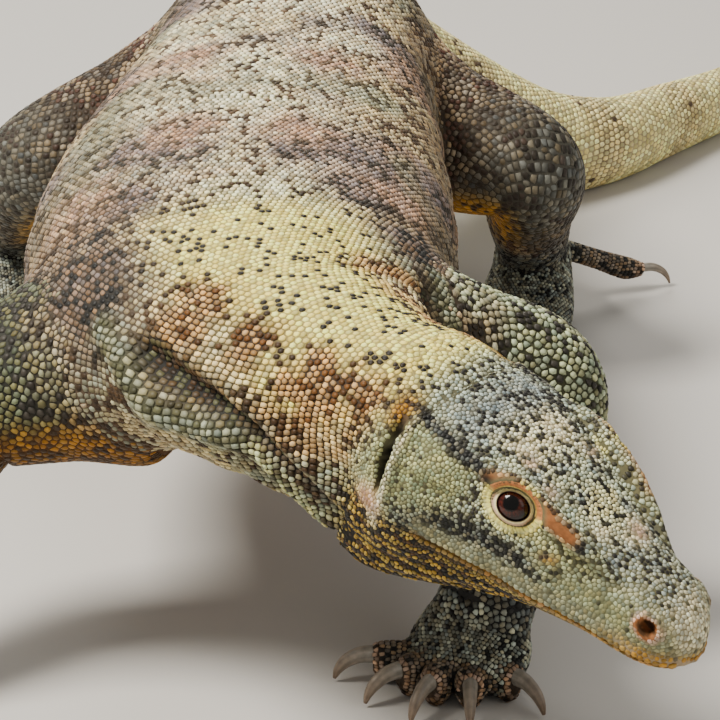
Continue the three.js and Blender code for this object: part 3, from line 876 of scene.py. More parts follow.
def paint_body(points, mirrored, t, s):
    """Markings of head, neck, trunk and tail."""
    paint = Paint(len(points))
    down = np.abs(s)
    d = down + cloudy(points, 38) * 0.07
    whole = np.ones(len(points))
    # trunk: a whitish band along the back, mauve and rosy clouds on sandy flanks, an ochre belly
    paint.lay(whole, "sand", "taupe", 0.22, "umber")
    paint.lay(smooth(cloudy(points, 60), 0.02, 0.3), "mauve", "umber", 0.25, "dark_slate")
    paint.lay(smooth(cloudy(points + 700, 52), 0.05, 0.3) * 0.8, "rosy", "umber", 0.2)
    paint.lay(smooth(cloudy(points + 1500, 44), 0.12, 0.4) * 0.8, "grey_green", "olive", 0.2)
    paint.lay(smooth(d, 0.22, 0.42) * 0.6, "taupe", "brown", 0.3, "brown")
    paint.lay((1 - smooth(d, 0.12, 0.28)) * (0.72 + 0.5 * cloudy(points, 30)), "cream", "taupe", 0.1, "umber")
    paint.lay(smooth(d, 0.72, 0.86), "tan", "dark_rust", 0.2)
    # neck: ivory above, straw below that, then rust, and a dark striped throat
    neck = 1 - smooth(t, TRUNK_START + 0.3, TRUNK_START + 1.5)
    paint.lay(neck * 0.8, "grey_green", "taupe", 0.2, "brown")
    paint.lay(neck * smooth(cloudy(points + 300, 34), -0.1, 0.22) * 0.8, "sand", "taupe", 0.2, "brown")
    nape = 1 - smooth(t, NECK_START + 1.6, NECK_START + 2.6)
    paint.lay(neck * (1 - smooth(d, 0.16, 0.3)), "ivory", "yellow", 0.12, "black")
    paint.lay(neck * (1 - smooth(d, 0.16, 0.3)) * 0.4, "straw", "yellow", 0.12, "black")
    paint.lay(nape * smooth(d, 0.13, 0.2), "straw", "yellow", 0.13, "black")
    paint.lay(nape * smooth(d, 0.3, 0.38), "sand", "brown", 0.22, "brown")
    clouds = smooth(cloudy(points, 16), -0.1, 0.2) * 0.7
    paint.lay(nape * smooth(d, 0.3, 0.38) * clouds, "rust", "brown", 0.14, "brown")
    paint.lay(nape * smooth(d, 0.44, 0.5), "grey_green", "brown", 0.2, "brown")
    throat = smooth(down, 0.7, 0.78) * (1 - smooth(t, NECK_START + 1.2, NECK_START + 2.4))
    stripes = smooth(np.sin(down * 130 + 1.2 * cloudy(points, 20)), -0.25, 0.5)
    paint.lay(throat, "mustard", "brown", 0.1, "black")
    paint.lay(throat * stripes, "brown", "black", 0.5, "black")
    # tail
    tail = smooth(t, TAIL_START - 0.6, TAIL_START + 1)
    paint.lay(tail, "cream", "sand", 0.0, "umber")
    paint.lay(tail * 0.5, "straw", "sand", 0.0, "umber")
    rings = smooth(np.sin(points[:, 1] * 0.062 + points[:, 0] * 0.02 + d), 0.1, 0.9)
    paint.lay(tail * rings * 0.35, "tan", "umber", 0.06)
    paint.lay(tail * smooth(t, TAIL_START + 5.5, TAIL_START + 8) * 0.5, "tan", "umber", 0.2)
    # single patches, and the neck's folds, with the hollow and the crease painted dark as painted shade
    plain = BODY.point(t, s)
    for scale, gap, dark, spot, size, marks in BODY_PATCHES:
        weight = sum(near(points, mirrored, body_mark(mark), size) for mark in marks)
        paint.lay(weight * (1.25 + 1.1 * cloudy(points, 8)), scale, gap, dark, spot)
    # the rolls keep their own tones; the hollow (brown, black gaps) and the crease (umber, black gaps) are
    # painted shade
    for line, wide, scale, gap in (
            (NECK_HOLLOW, 10, "brown", "black"), (THROAT_ROLL, 9, "grey_green", "moss"),
            (POUCH_ROLL, 7, "lime", "brown"), (NECK_CREASE, 4, "umber", "black")):
        paths = [line_distance(p, line)[0] for p in (plain, mirrored)]
        paint.lay(1.2 * bump(np.minimum(*paths) / wide), scale, gap, 0.25, "moss")
    paint_head(paint, points)
    return paint


# Tone, gap, share and tone of dark scales, size, places as body_mark takes them.
BODY_PATCHES = [
    ("mauve", "umber", 0.3, "dark_slate", 20, [
        (100, 280), (130, 200), (180, 150), (350, 150), (420, 260), (440, 200)]),
    ("cream", "olive", 0.14, "brown", 22, [(250, 100), (230, 190), (340, 250), (270, 60), (400, 290)]),
    ("rosy", "taupe", 0.16, "umber", 22, [(300, 130), (330, 60), (400, 200)]),
    ("taupe", "dark_slate", 0.4, "night", 26, [(-0.205, -0.640, 0.225), (-0.200, -0.690, 0.222)]),
    ("straw", "yellow", 0.12, "black", 32, [
        (-0.065, -0.762, 0.259), (-0.095, -0.722, 0.262), (-0.094, -0.760, 0.257), (-0.112, -0.672, 0.266),
        (390, 330), (330, 290), (280, 260), (240, 250), (430, 380)]),
    ("rust", "brown", 0.26, "dark_rust", 17, [
        (250, 340), (320, 380), (200, 300), (370, 400), (300, 395), (180, 330)]),
    ("pink", "dark_rust", 0.0, None, 6, [(258, 440)]),
]


def paint_head(paint, points):
    """Markings of the head, by back, up and out."""
    places = on_side(points)
    b, u, out = places.T
    head = 1 - smooth(b, 176, 200)
    sides = smooth(out, 28, 40)
    # top: pale with dark scales in clusters, bluer on the crown; snout sides greenish with blotches
    paint.lay(head, "sage", "olive", 0.2, "dark_slate")
    paint.lay(head * bump((b - 152) / 20, (u - 46) / 12), "steel", "slate", 0.44, "night")
    middle = bump((b - 127) / 18, (u - 46) / 8) * (1 - smooth(out, 20, 32))
    paint.lay(head * middle, "cream", "olive", 0.2, "dark_slate")
    paint.lay(head * (1 - smooth(b, 44, 90)), "ash", "olive", 0.2, "dark_slate")
    paint.lay(head * (1 - smooth(b, 14, 30)) * smooth(u, -2, 8) * 0.8, "cream", "sand", 0.03, "olive")
    middle = bump((b - 80) / 14, (u - 38) / 10) * (1 - smooth(out, 10, 18))
    paint.lay(head * middle, "ivory", "dark_slate", 0.4, "black")
    snout = bump((b - 40) / 46, (u - 8) / 14) * smooth(out, 10, 20)
    paint.lay(head * snout, "green", "green", 0.05, "moss")
    paint.lay(head * snout * 0.4, "olive", "olive", 0.05, "moss")
    paint.lay(head * bump((b - 70) / 20, (u - 26) / 10) * smooth(out, 20, 28), "lime", "olive", 0.16, "moss")
    whole = np.stack([b, u, head_places(points)[2]], -1)
    for scale, gap, dark, spot, size, marks in HEAD_PATCHES:
        distances = [np.linalg.norm(whole - head_mark(mark), axis=1) for mark in marks]
        weight = sum(bump(distance / size) for distance in distances)
        paint.lay(head * weight, scale, gap, dark, spot)
    # the smooth orange strip over the lids and before them
    strip, _ = line_distance(places, LID_STRIP)
    paint.lay(head * 1.2 * bump(strip / 4.6), "orange", "orange", 0.0)
    crest, _ = line_distance(places, BROW_CREST)
    paint.lay(head * bump(crest / 4.5) * 1.1, "sage", "olive", 0.14, "moss")
    # cheek, dark band over the temple, slate band below the eye
    cheek = smooth(b, 126, 140) * (1 - smooth(np.abs(u - 12), 22, 32)) * sides
    paint.lay(head * cheek, "green", "olive", 0.06)
    paint.lay(head * cheek * smooth(cloudy(points, 11), 0.0, 0.3) * 0.6, "lime", "olive", 0.04)
    temple, _ = line_distance(places, TEMPLE_BAND)
    paint.lay(head * bump(temple / 4.2) * smooth(out, 26, 36) * 1.2, "slate", "night", 0.5, "night")
    band, _ = line_distance(places, SLATE_BAND)
    wide = np.interp(b, [90, 115, 131, 153], [4.5, 7, 8, 9])
    paint.lay(head * bump(band / wide) * smooth(out, 30, 38) * 1.2, "slate", "night", 0.55, "night")
    streaks = smooth(np.sin(u * 2.1 + b * 0.2 + cloudy(points, 12) * 2), 0.35, 0.9)
    paint.lay(head * bump(band / wide) * smooth(out, 30, 38) * streaks * 0.8, "grey_green", "moss", 0.1)
    for place in ((125, 37.5, 45.6), (120, 36, 46)):
        paint.lay(bump(np.linalg.norm(places - place, axis=1) / 3.2), "night", "black", 0.2)
    # lips, jaw and throat
    edge = lip_height(places)
    lips = head * (1 - smooth(b, MOUTH["corner"], MOUTH["corner"] + 8))
    paint.lay(lips * bump((edge - 4.5) / 6), "grey_green", "grey_green", 0.06, "moss")
    paint.lay(lips * bump((edge - 4.5) / 6) * 0.45, "olive", "olive", 0.06, "moss")
    paint.lay(lips * bump((edge - 4) / 4) * (1 - smooth(b, 16, 50)), "ochre", "tan", 0.04)
    paint.lay(lips * smooth(-edge, 0.3, 2), "mustard", "mustard", 0.04)
    paint.lay(lips * smooth(-edge, 0.3, 2) * 0.5, "olive", "olive", 0.04)
    paint.lay(lips * bump((edge + 1.6) / 1.6), "orange", "ochre", 0.0)
    paint.lay(lips * smooth(-edge, 9, 16), "lime", "umber", 0.08)
    under = head * smooth(-u, 8, 20) * smooth(b, 30, 60)
    stripes = smooth(np.sin(u * 0.95 + 0.14 * b + 1.4 * cloudy(points, 15)), -0.2, 0.45)
    paint.lay(under, "mustard", "black", 0.1, "black")
    paint.lay(under * stripes, "brown", "black", 0.4, "black")
    # ear
    slit = ear_ring(places)
    # The slit is painted black: painted shade of the opening's depth.
    paint.lay((1 - smooth(slit, 0.75, 1.2)) * sides, "black", "black", 0.0)
    paint.lay(bump((slit - 1.9) / 0.55) * (b < EAR["back"]) * sides, "cream", "olive", 0.0)
    paint.lay(bump((b - 184) / 7, (u - 33) / 7) * smooth(out, 24, 34) * 1.1, "ochre", "dark_rust", 0.05)
    paint.lay(bump((b - 173) / 9, (u + 12) / 7) * sides * 1.1, "pink", "rust", 0.0)
    # nostril
    ring = nostril_ring(places)
    tip = smooth(out, 8, 16)
    paint.lay(tip * (1 - smooth(ring, 2.0, 2.5)) * 0.6, "pink", "tan", 0.0)
    paint.lay(tip * (1 - smooth(ring, 1.5, 1.9)), "pink", "orange", 0.0)
    paint.lay(tip * (1 - smooth(ring, 0.85, 1.1)), "orange", "dark_rust", 0.0)
    # The hole's inside is painted dark maroon as painted shade of its depth.
    paint.lay(tip * (1 - smooth(ring, 0.4, 0.85)) * 0.8, "maroon", "maroon", 0.0)
    # lids
    ring = socket_places(places)[0]
    paint.lay(1.1 * (1 - smooth(ring, 1.7, 2.2)), "straw", "olive", 0.0)
    paint.lay(1 - smooth(ring, 0.9, 1.05), "brown", "black", 0.0)


# Tone, gap, share and tone of dark scales, size, places as head_mark takes them.
HEAD_PATCHES = [
    ("steel", "slate", 0.5, "night", 4.6, [
        (745, 300), (790, 325), (700, 400), (640, 300), (800, 600), (690, 560), (870, 560), (930, 600),
        (430, 110), (540, 60), (700, 180), (560, 330), (76, 35, 16), (60, 31, 19)]),
    ("slate", "night", 0.7, "night", 2.6, [(545, 655), (610, 650), (77, 6, 39), (64, 9, 36), (92, 9, 41)]),
    ("cream", "sand", 0.08, "olive", 6.0, [
        (520, 230), (860, 520), (640, 190), (760, 500), (600, 150), (66, 33, 13)]),
    ("pink", "tan", 0.14, "slate", 5.0, [(540, 280), (600, 380), (880, 500), (108, 44, 22)]),
    ("lime", "olive", 0.1, "moss", 5.5, [(560, 540), (620, 600), (500, 500), (84, 23, 37)]),
    ("ochre", "tan", 0.1, "brown", 3.0, [(600, 600), (570, 590)]),
]
# Lines of the long markings, as back, up and out.
LID_STRIP = [(125, 39, 46), (112, 44, 42.5), (98, 42.5, 40), (86, 38.5, 38), (76, 36, 35)]
BROW_CREST = [(132, 44, 42), (124, 46, 31), (111, 47, 27), (98, 44, 26), (88, 39, 22)]
TEMPLE_BAND = [(174, 37, 39), (159, 37.5, 41), (146, 37.5, 42), (133, 40.5, 45)]
SLATE_BAND = [(153, -7.5, 53), (131, 2, 51), (116, 8, 46), (100, 8, 42), (88, 7, 38)]


def paint_limb(points, t, s, foot, part):
    """Markings of a leg (t from 0 at the body to 4 at the ankle), its sole and its toes."""
    paint = Paint(len(points))
    fore = LEGS[foot]["toes"] == "fore"
    under = smooth(np.abs(s), 0.55, 0.75)
    waver = cloudy(points, 26) * 0.5
    grain = smooth(cloudy(points, 15), 0.0, 0.3)
    whole = np.ones(len(points))
    if part == "leg":
        if fore:
            paint.lay(whole, "green", "moss", 0.25, "dark_slate")
            paint.lay(grain * 0.7, "olive", "moss", 0.3, "dark_slate")
            # The right arm gets darker moss tones than the left's sage: painted shade.
            if foot == "hand_right":
                paint.lay(whole * 0.65, "moss", "night", 0.3, "dark_slate")
            else:
                paint.lay(whole * 0.5, "sage", "moss", 0.25, "dark_slate")
            paint.lay(1 - smooth(t + waver, 0.3, 1.1), "tan", "umber", 0.24)
            above_wrist = 1 - smooth(t, 2.2, 3)
            paint.lay(smooth(np.abs(s), 0.48, 0.64) * above_wrist, "ochre", "dark_rust", 0.4, "brown")
            paint.lay(under * above_wrist * 0.35, "dark_rust", "dark_rust", 0.4, "brown")
        else:
            paint.lay(whole, "slate", "night", 0.4, "night")
            paint.lay(whole * 0.7, "umber", "brown", 0.3, "brown")
            paint.lay(grain * 0.5, "tan", "brown", 0.4, "maroon")
            paint.lay(1 - smooth(t + waver, 0.4, 1.3), "tan", "umber", 0.25, "maroon")
            paint.lay(bump((t - 2.1) / 0.5) * 0.8, "slate", "slate", 0.3, "dark_slate")
            paint.lay(under * (1 - smooth(t, 2.6, 3.2)), "ochre", "ochre", 0.25, "brown")
        paint.lay(smooth(t + waver, 2.7, 3.5), "slate", "night", 0.3, "night")
    else:
        paint.lay(whole, "slate", "night", 0.15, "night")
        paint.lay(0.3 + 0.7 * smooth(cloudy(points, 5), -0.1, 0.25), "ash", "night", 0.1, "night")
        if part == "toe":
            paint.lay(smooth(t, 0.2, 0.8) * 0.7, "taupe", "dark_slate", 0.3, "night")
            paint.lay(smooth(t, 1.9, 2.6) * 0.7, "rosy", "umber", 0.1)
        paint.lay(smooth(np.abs(s), 0.66, 0.85), "taupe", "brown", 0.2)
    return paint


def finished_tones(paint, points, pitch, luck):
    """Linear scale colours: most scales take the place's tone, some a dark one, in small clusters."""
    specks = cloudy(points / pitch[:, None], 0.8) + 0.5 * luck[0]
    specks = specks.argsort().argsort() / len(points)
    dark = specks < np.clip(paint.dark * (1 + 1.2 * cloudy(points, 14)), 0, 0.9)
    tone = paint.scale * (0.97 + 0.22 * (luck[1] - 0.5)[:, None] * 2)
    tone = tone + np.array([7.0, 0, -9]) * ((luck[2] - 0.5) * 2)[:, None]
    tone = tone + (paint.gap - tone) * (0.4 * smooth(luck[3], 0.7, 1.0))[:, None]
    gloom = paint.spot * (0.75 + 0.5 * luck[1])[:, None]
    return linear(np.where(dark[:, None], gloom, tone))


# ---------------------------------------------------------------- scales
SCALE_HEIGHT = 0.56  # of the scale's mean radius
HEAD_TRIES = 190000  # places thrown over the head, of which some eight thousand are kept
LIP_STEP, LIP_SCALE = 3.3, 3.4  # from one lip scale to the next, and their size
SOLE_SCALES = dict(along=3.2, around=2.5)
TRUNK_OVERLAP, FOOT_OVERLAP = 4.0, 2.0  # how deep scales may still start inside a joined surface
PATCH = 0.0015  # half of a scale's patch in the bake map


def spread_evenly(count):
    """Even but never regular places in a unit square, by multiples of two powers of 1 / 1.3247, each with
    a chance value."""
    places = (0.5 + np.arange(1, count + 1)[:, None] * 1.32471795724 ** -np.array([1.0, 2.0])) % 1
    return np.hstack([places, chance.uniform(0, 1, (count, 1))])


def in_rows(shape, start, end, along, around):
    """Places in rings `along` millimetres apart, each ring's scales `around` apart by girth from the top
    line, every second ring half a step on; both are functions, of t and of (t, shares)."""
    tube = shape.tube
    t = np.linspace(start, end, 1200)
    run = np.interp(t, tube.t, tube.run)
    steps = np.concatenate([[0], np.cumsum(np.diff(run) / along(t)[1:])])
    rows = np.interp(np.arange(0.5, steps[-1]), steps, t)
    shares = np.linspace(0, 1, 241)
    found_t, found_s, found_wide = [], [], []
    for i, place in enumerate(rows):
        half = np.interp(place, tube.t, tube.half_girth)
        pitch = around(place, shares)
        counted = np.concatenate([[0], np.cumsum(half / 240 / pitch[1:])])
        first = 0.5 * (i % 2)
        k = np.arange(first, counted[-1] - 0.25)
        s = np.interp(k, counted, shares)
        wide = np.interp(s, shares, pitch)
        left = s if first else s[1:]
        found_s += [s, -left]
        found_wide += [wide, wide if first else wide[1:]]
        found_t.append(np.full(len(s) + len(left), place))
    t, s, wide = np.concatenate(found_t), np.concatenate(found_s), np.concatenate(found_wide)
    count = len(t)
    half = np.interp(t, tube.t, tube.half_girth)
    t = t + chance.uniform(-0.1, 0.1, count) * along(t) / np.gradient(tube.run, tube.t)[
        np.clip(np.searchsorted(tube.t, t), 0, len(tube.t) - 1)]
    s = s + chance.uniform(-0.1, 0.1, count) * wide / half
    s = np.where(s > 1, 2 - s, np.where(s < -1, -2 - s, s))
    return np.clip(t, 0, tube.t[-1]), s, along(t), wide


def strewn(shape, start, end, pitch, crowd=14):
    """Places thrown evenly over a bending tube, each kept `pitch` from the others by real distance."""
    tube = shape.tube
    run = np.interp([start, end], tube.t, tube.run)
    tries = int(crowd * 2 * tube.half_girth.mean() * np.ptp(run) / pitch**2)
    places = spread_evenly(tries)
    fine_t = np.interp(run[0] + places[:, 0] * np.ptp(run), tube.run, tube.t)
    fine_s = places[:, 1] * 2 - 1
    dt = 0.02
    ahead = tube.point(np.minimum(fine_t + dt, tube.t[-1]), fine_s)
    ahead = ahead - tube.point(np.maximum(fine_t - dt, 0), fine_s)
    stretch = np.linalg.norm(ahead, axis=1) * np.interp(fine_t, tube.t, tube.half_girth)
    stretch /= np.interp(fine_t, tube.t, np.gradient(tube.run, tube.t))
    keep = places[:, 2] < stretch / np.percentile(stretch, 97)
    fine_t, fine_s = fine_t[keep], fine_s[keep]
    points = tube.point(fine_t, fine_s)
    chosen = thrown_apart(points, np.full(len(points), pitch), np.arange(len(points)))
    return fine_t[chosen], fine_s[chosen], np.full(len(chosen), pitch), np.full(len(chosen), pitch)


def head_pitch(places):
    """Distance between scales on the head: small beads on the cheeks and round the eyes, larger above."""
    b, u, out = places.T
    pitch = np.full(len(places), 2.3)
    pitch -= 0.4 * smooth(b, 100, 130) * (1 - smooth(u, 20, 40)) * smooth(out, 28, 40)
    pitch += 0.8 * smooth(-u, 16, 34)
    pitch += 1.0 * smooth(b, 182, 210)
    pitch -= 0.8 * bump(nostril_ring(places) / 2.6) * smooth(out, 8, 16)
    pitch -= 0.5 * (1 - smooth(socket_places(places)[0], 1.8, 3.2))
    return pitch


def head_seeds(shape):
    """Scales of the head: rows along the lips, then places thrown evenly that keep their distance."""
    tube = shape.tube
    end = NECK_START + 0.12
    places = spread_evenly(HEAD_TRIES)
    t = np.interp(places[:, 0] * np.interp(end, tube.t, tube.run), tube.run, tube.t)
    s = places[:, 1] * 2 - 1
    keep = places[:, 2] < np.interp(t, tube.t, tube.half_girth) / tube.half_girth.max()
    t, s = t[keep], s[keep]
    points, _, normals = tube.frame(t, s)
    points = points + normals * whole_relief(points, normals, t, s)[:, None]
    places = on_side(points)
    b, _, out = places.T
    side = np.sign(s)
    edge = lip_height(places)
    lip_b = np.arange(4.0, MOUTH["corner"] - 1, LIP_STEP)
    placed = []
    for row in (2.5, -3.2):
        for way in (1, -1):
            mine = np.flatnonzero(side == way)
            far = np.hypot(b[mine][None] - lip_b[:, None], edge[mine][None] - row)
            placed.append(mine[far.argmin(1)])
    placed = np.unique(np.concatenate(placed))
    strip, _ = line_distance(places, LID_STRIP)
    barred = (np.abs(edge) < 1.0) & (b < MOUTH["corner"])
    barred |= (np.abs(edge) < 4.6) & (b < MOUTH["corner"] - 2)
    barred |= (ear_ring(places) < 1.2) & (out > 30)
    barred |= (nostril_ring(places) < 1.5) & (out > 8)
    barred |= (socket_places(places)[0] < 1.8) | (strip < 3.8)
    pitch = head_pitch(places)
    pitch[placed] = LIP_SCALE
    order = np.concatenate([placed, np.flatnonzero(~barred)])
    chosen = thrown_apart(points, pitch, order)
    return t[chosen], s[chosen], points[chosen], pitch[chosen]


def thrown_apart(points, pitch, order):
    """Takes places in turn, leaving out those nearer to a taken one than 0.82 of their pitch."""
    cell = pitch.max()
    keys = np.floor(points / cell).astype(int)
    taken, cells = [], {}
    beside = [(i, j, k) for i in (-1, 0, 1) for j in (-1, 0, 1) for k in (-1, 0, 1)]
    flat, reach = points.tolist(), (0.82 * pitch).tolist()
    for i in order.tolist():
        x, y, z = flat[i]
        a, b, c = keys[i].tolist()
        limit = reach[i] ** 2
        free = True
        for da, db, dc in beside:
            for p, q, r in cells.get((a + da, b + db, c + dc), ()):
                if (p - x) ** 2 + (q - y) ** 2 + (r - z) ** 2 < limit:
                    free = False
                    break
            if not free:
                break
        if free:
            taken.append(i)
            cells.setdefault((a, b, c), []).append((x, y, z))
    return np.array(taken)


def neighbours(points, count):
    """The `count` nearest other points of each point: their numbers and distances."""
    tree = tree_of(points.tolist())
    found = [tree.find_n(p, count + 1) for p in points.tolist()]
    index = np.array([[f[1] for f in row[1:]] for row in found])
    reach = np.array([[f[2] for f in row[1:]] for row in found])
    return index, reach


class Coat:
    """All the scales together, so that each can be cut to the room that its neighbours leave."""

    def __init__(self):
        self.names, self.parts = [], []

    def add(self, name, loose, **arrays):
        """Adds scales that belong to one piece; loose ones may be eased apart."""
        if name not in self.names:
            self.names.append(name)
        count = len(arrays["place"])
        arrays["piece"] = np.full(count, self.names.index(name))
        arrays["loose"] = np.full(count, loose)
        self.parts.append(arrays)

    def gather(self):
        """Joins what was added into one array of each kind."""
        for key in self.parts[0]:
            setattr(self, key, np.concatenate([part[key] for part in self.parts]))

    def keep(self, which):
        """Keeps only the chosen scales."""
        for key in self.parts[0]:
            setattr(self, key, getattr(self, key)[which])

    def thin(self):
        """Leaves out scales that sit almost on another one."""
        index, reach = neighbours(self.place, 3)
        number = np.arange(len(self.place))[:, None]
        crowded = (reach < 0.5 * np.minimum(self.pitch[:, None], self.pitch[index])) & (index < number)
        self.keep(~crowded.any(1))

    def ease(self, skin, rounds):
        """Moves loose scales away from neighbours that are nearer than their pitch, over the skin."""
        for _ in range(rounds):
            index, reach = neighbours(self.place, 6)
            wanted = 0.5 * (self.pitch[:, None] + self.pitch[index])
            away = (self.place[:, None] - self.place[index]) / np.maximum(reach, 0.1)[..., None]
            push = (np.clip(wanted * 1.06 - reach, 0, None) * 0.3)[..., None] * away
            moved = np.flatnonzero(self.loose)
            self.place[moved], self.normal[moved] = skin.nearest(self.place[moved] + push[moved].sum(1))

    def cells(self):
        """Radius of each scale in 24 directions: half way to the neighbours, rounded off at the pitch.

        In direction a the border with a neighbour at distance d in direction c lies at
        d / 2 / cos(a - c); the scale keeps to the nearest border and below 0.6 of its pitch.
        """
        flow = unit(self.flow - self.normal * np.einsum("ij,ij->i", self.flow, self.normal)[:, None])
        across = np.cross(self.normal, flow)
        index, _ = neighbours(self.place, 8)
        to = self.place[index] - self.place[:, None]
        x = np.einsum("ijk,ik->ij", to, flow)
        y = np.einsum("ijk,ik->ij", to, across)
        d, way = np.hypot(x, y), np.arctan2(y, x)
        angles = np.arange(24) * np.pi / 12
        facing = np.cos(angles[None, None] - way[..., None])
        border = np.where(facing > 0.12, d[..., None] / 2 / np.maximum(facing, 0.12), 99.0).min(1)
        cap = np.where(self.pitch < 3, 0.7, 0.6)[:, None] * self.pitch[:, None]
        cap = np.clip(0.56 * np.sort(d, 1)[:, :6].mean(1)[:, None], cap, cap * 1.6)
        cap *= 1 + 0.12 * (self.luck[:, 3:4] - 0.5)
        radius = np.minimum(border * np.where(self.pitch < 3.6, 0.97, 0.9)[:, None], cap)
        choices = np.stack([radius[:, k::4].sum(1) for k in range(4)], 1)
        first = choices.argmax(1)
        picked = first[:, None] + 4 * np.arange(6)
        self.turns = angles[picked]
        self.radii = np.take_along_axis(radius, picked, 1)
        self.flow, self.across = flow, across

    def build(self):
        """Makes one joined mesh for each piece of the coat."""
        for number, name in enumerate(self.names):
            which = np.flatnonzero(self.piece == number)
            scale_piece(name, self, which)


def scale_piece(name, coat, which):
    """A joined mesh of closed domes. Each has a foot sunk in the skin and a shoulder above it, at
    root + radius * (flow cos a + across sin a) * r + normal * h for the cell's six radii and angles, and
    a point at the top."""
    # Each ring: share of the radius, height as a share of the scale's, and tone; the foot's lower tone is
    # partly the scales' own darker edges and partly painted shade between the beads.
    rings = [(1.0, -0.35, 0.5), (0.84, 0.66, 1.0)]
    n, sides = len(which), 6
    turns, radii = coat.turns[which], coat.radii[which]
    flow, across, normal, root = (
        values[which][:, None] for values in (coat.flow, coat.across, coat.normal, coat.place))
    x, y = radii * np.cos(turns), radii * np.sin(turns)
    high = (coat.high[which] * radii.mean(1))[:, None]
    stack = [root + flow * (x * r)[..., None] + across * (y * r)[..., None] + normal * (high * h)[..., None]
             for r, h, _ in rings]
    points = np.concatenate(stack + [root + normal * high[..., None]], axis=1)
    points[..., 2] = np.maximum(points[..., 2], 0.15)
    v = len(rings) * sides + 1
    k = np.arange(sides)
    last = (len(rings) - 1) * sides
    faces = [np.stack([k, (k + 1) % sides, sides + (k + 1) % sides, sides + k], -1),
             np.stack([last + k, last + (k + 1) % sides, np.full(sides, v - 1)], -1), k[None, ::-1]]
    shape = np.concatenate([f.ravel() for f in faces])
    corners = shape[None] + (np.arange(n) * v)[:, None]
    total = np.tile(np.concatenate([np.full(len(f), f.shape[1]) for f in faces]), n)
    mesh = bpy.data.meshes.new(name)
    mesh.vertices.add(n * v)
    mesh.vertices.foreach_set("co", to_row(points.reshape(-1, 3)).astype(np.float32).ravel())
    mesh.loops.add(corners.size)
    mesh.loops.foreach_set("vertex_index", corners.astype(np.int32).ravel())
    mesh.polygons.add(len(total))
    mesh.polygons.foreach_set("loop_start", np.concatenate([[0], np.cumsum(total)[:-1]]).astype(np.int32))
    mesh.polygons.foreach_set("loop_total", total.astype(np.int32))
    mesh.update(calc_edges=True)
    # Tones darker at the foot (partly the scales' own darker edges, partly painted shade) and lighter at the
    # top point as a painted highlight, both less on flatter scales.
    lows = np.concatenate([np.full(sides, 1 - tone) for _, _, tone in rings] + [[-0.1]])
    shade = 1 - lows[None] * (coat.high[which] / SCALE_HEIGHT)[:, None]
    give_tones(mesh, (coat.colour[which][:, None] * shade[..., None]).reshape(-1, 3))
    layer = mesh.uv_layers.new(name="OFBake")
    unit_round = np.stack([np.cos(k * np.pi / 3), np.sin(k * np.pi / 3)], -1)
    patch = np.vstack([unit_round * r for r, _, _ in rings] + [[[0.0, 0.0]]]) * PATCH
    corner_uv = coat.chart[which][:, None] + patch[shape][None]
    layer.data.foreach_set("uv", corner_uv.astype(np.float32).ravel())
    finish_piece(mesh, name, SCALE_COAT, [])


def give_tones(mesh, colours):
    """Stores linear colours at the vertices under the name 'tone'."""
    layer = mesh.color_attributes.new(name="tone", type="FLOAT_COLOR", domain="POINT")
    full = np.hstack([colours, np.ones((len(colours), 1))])
    layer.data.foreach_set("color", full.astype(np.float32).ravel())


def paint_for(shape, points, t, s):
    """The markings of one of the joined surfaces."""
    if shape.name == "body":
        return paint_body(points, shape.tube.point(t, -s), t, s)
    foot, part = shape.name.split(" ")[:2]
    return paint_limb(points, t, s, foot, part)


def lay_scales(coat, name, skin, shapes, parts, loose):
    """Adds the scales of one coat piece from parts: (shape name, t, s, length, width, centres or None)."""
    columns = int(np.ceil(np.sqrt(len(parts))))
    for number, (key, t, s, along, around, centres) in enumerate(parts):
        shape = shapes[key]
        base, flow, base_normals = shape.tube.frame(t, s)
        if centres is None:
            rise = whole_relief(base, base_normals, t, s) if key == "body" else np.zeros(len(t))
            centres = base + base_normals * rise[:, None]
        keep = np.ones(len(t), bool)
        for other in shapes.values():
            if other is shape:
                continue
            inside = np.all((centres > other.low) & (centres < other.high), axis=1) & keep
            where = np.flatnonzero(inside)
            if len(where):
                allowed = TRUNK_OVERLAP if "body" in (key, other.name) else FOOT_OVERLAP
                keep[where] = signed_distance(other.tree, centres[where], 60.0) > -allowed
        t, s, along, around, centres, flow = (x[keep] for x in (t, s, along, around, centres, flow))
        place, normal = skin.nearest(centres)
        luck = chance.uniform(0, 1, (len(t), 4))
        paint = paint_for(shape, centres, t, s)
        cell = np.array([number % columns, number // columns]) / columns
        inner = np.stack([(s + 1) / 2, (t - t.min()) / np.ptp(t)], -1) * 0.94 + 0.03
        flat = smooth(normal[:, 2], -0.95, -0.6) * 0.5 + 0.5
        flat *= np.clip(np.abs(paint.scale - paint.gap).mean(1) / 90, 0.4, 1.0)
        pitch = np.maximum(along, around)
        coat.add(name, loose, place=place, normal=normal, flow=flow, pitch=pitch,
                 high=SCALE_HEIGHT * flat * np.where(along < 3, 0.75, 1.0),
                 colour=finished_tones(paint, centres, pitch, luck.T), luck=luck,
                 chart=cell + inner / columns)


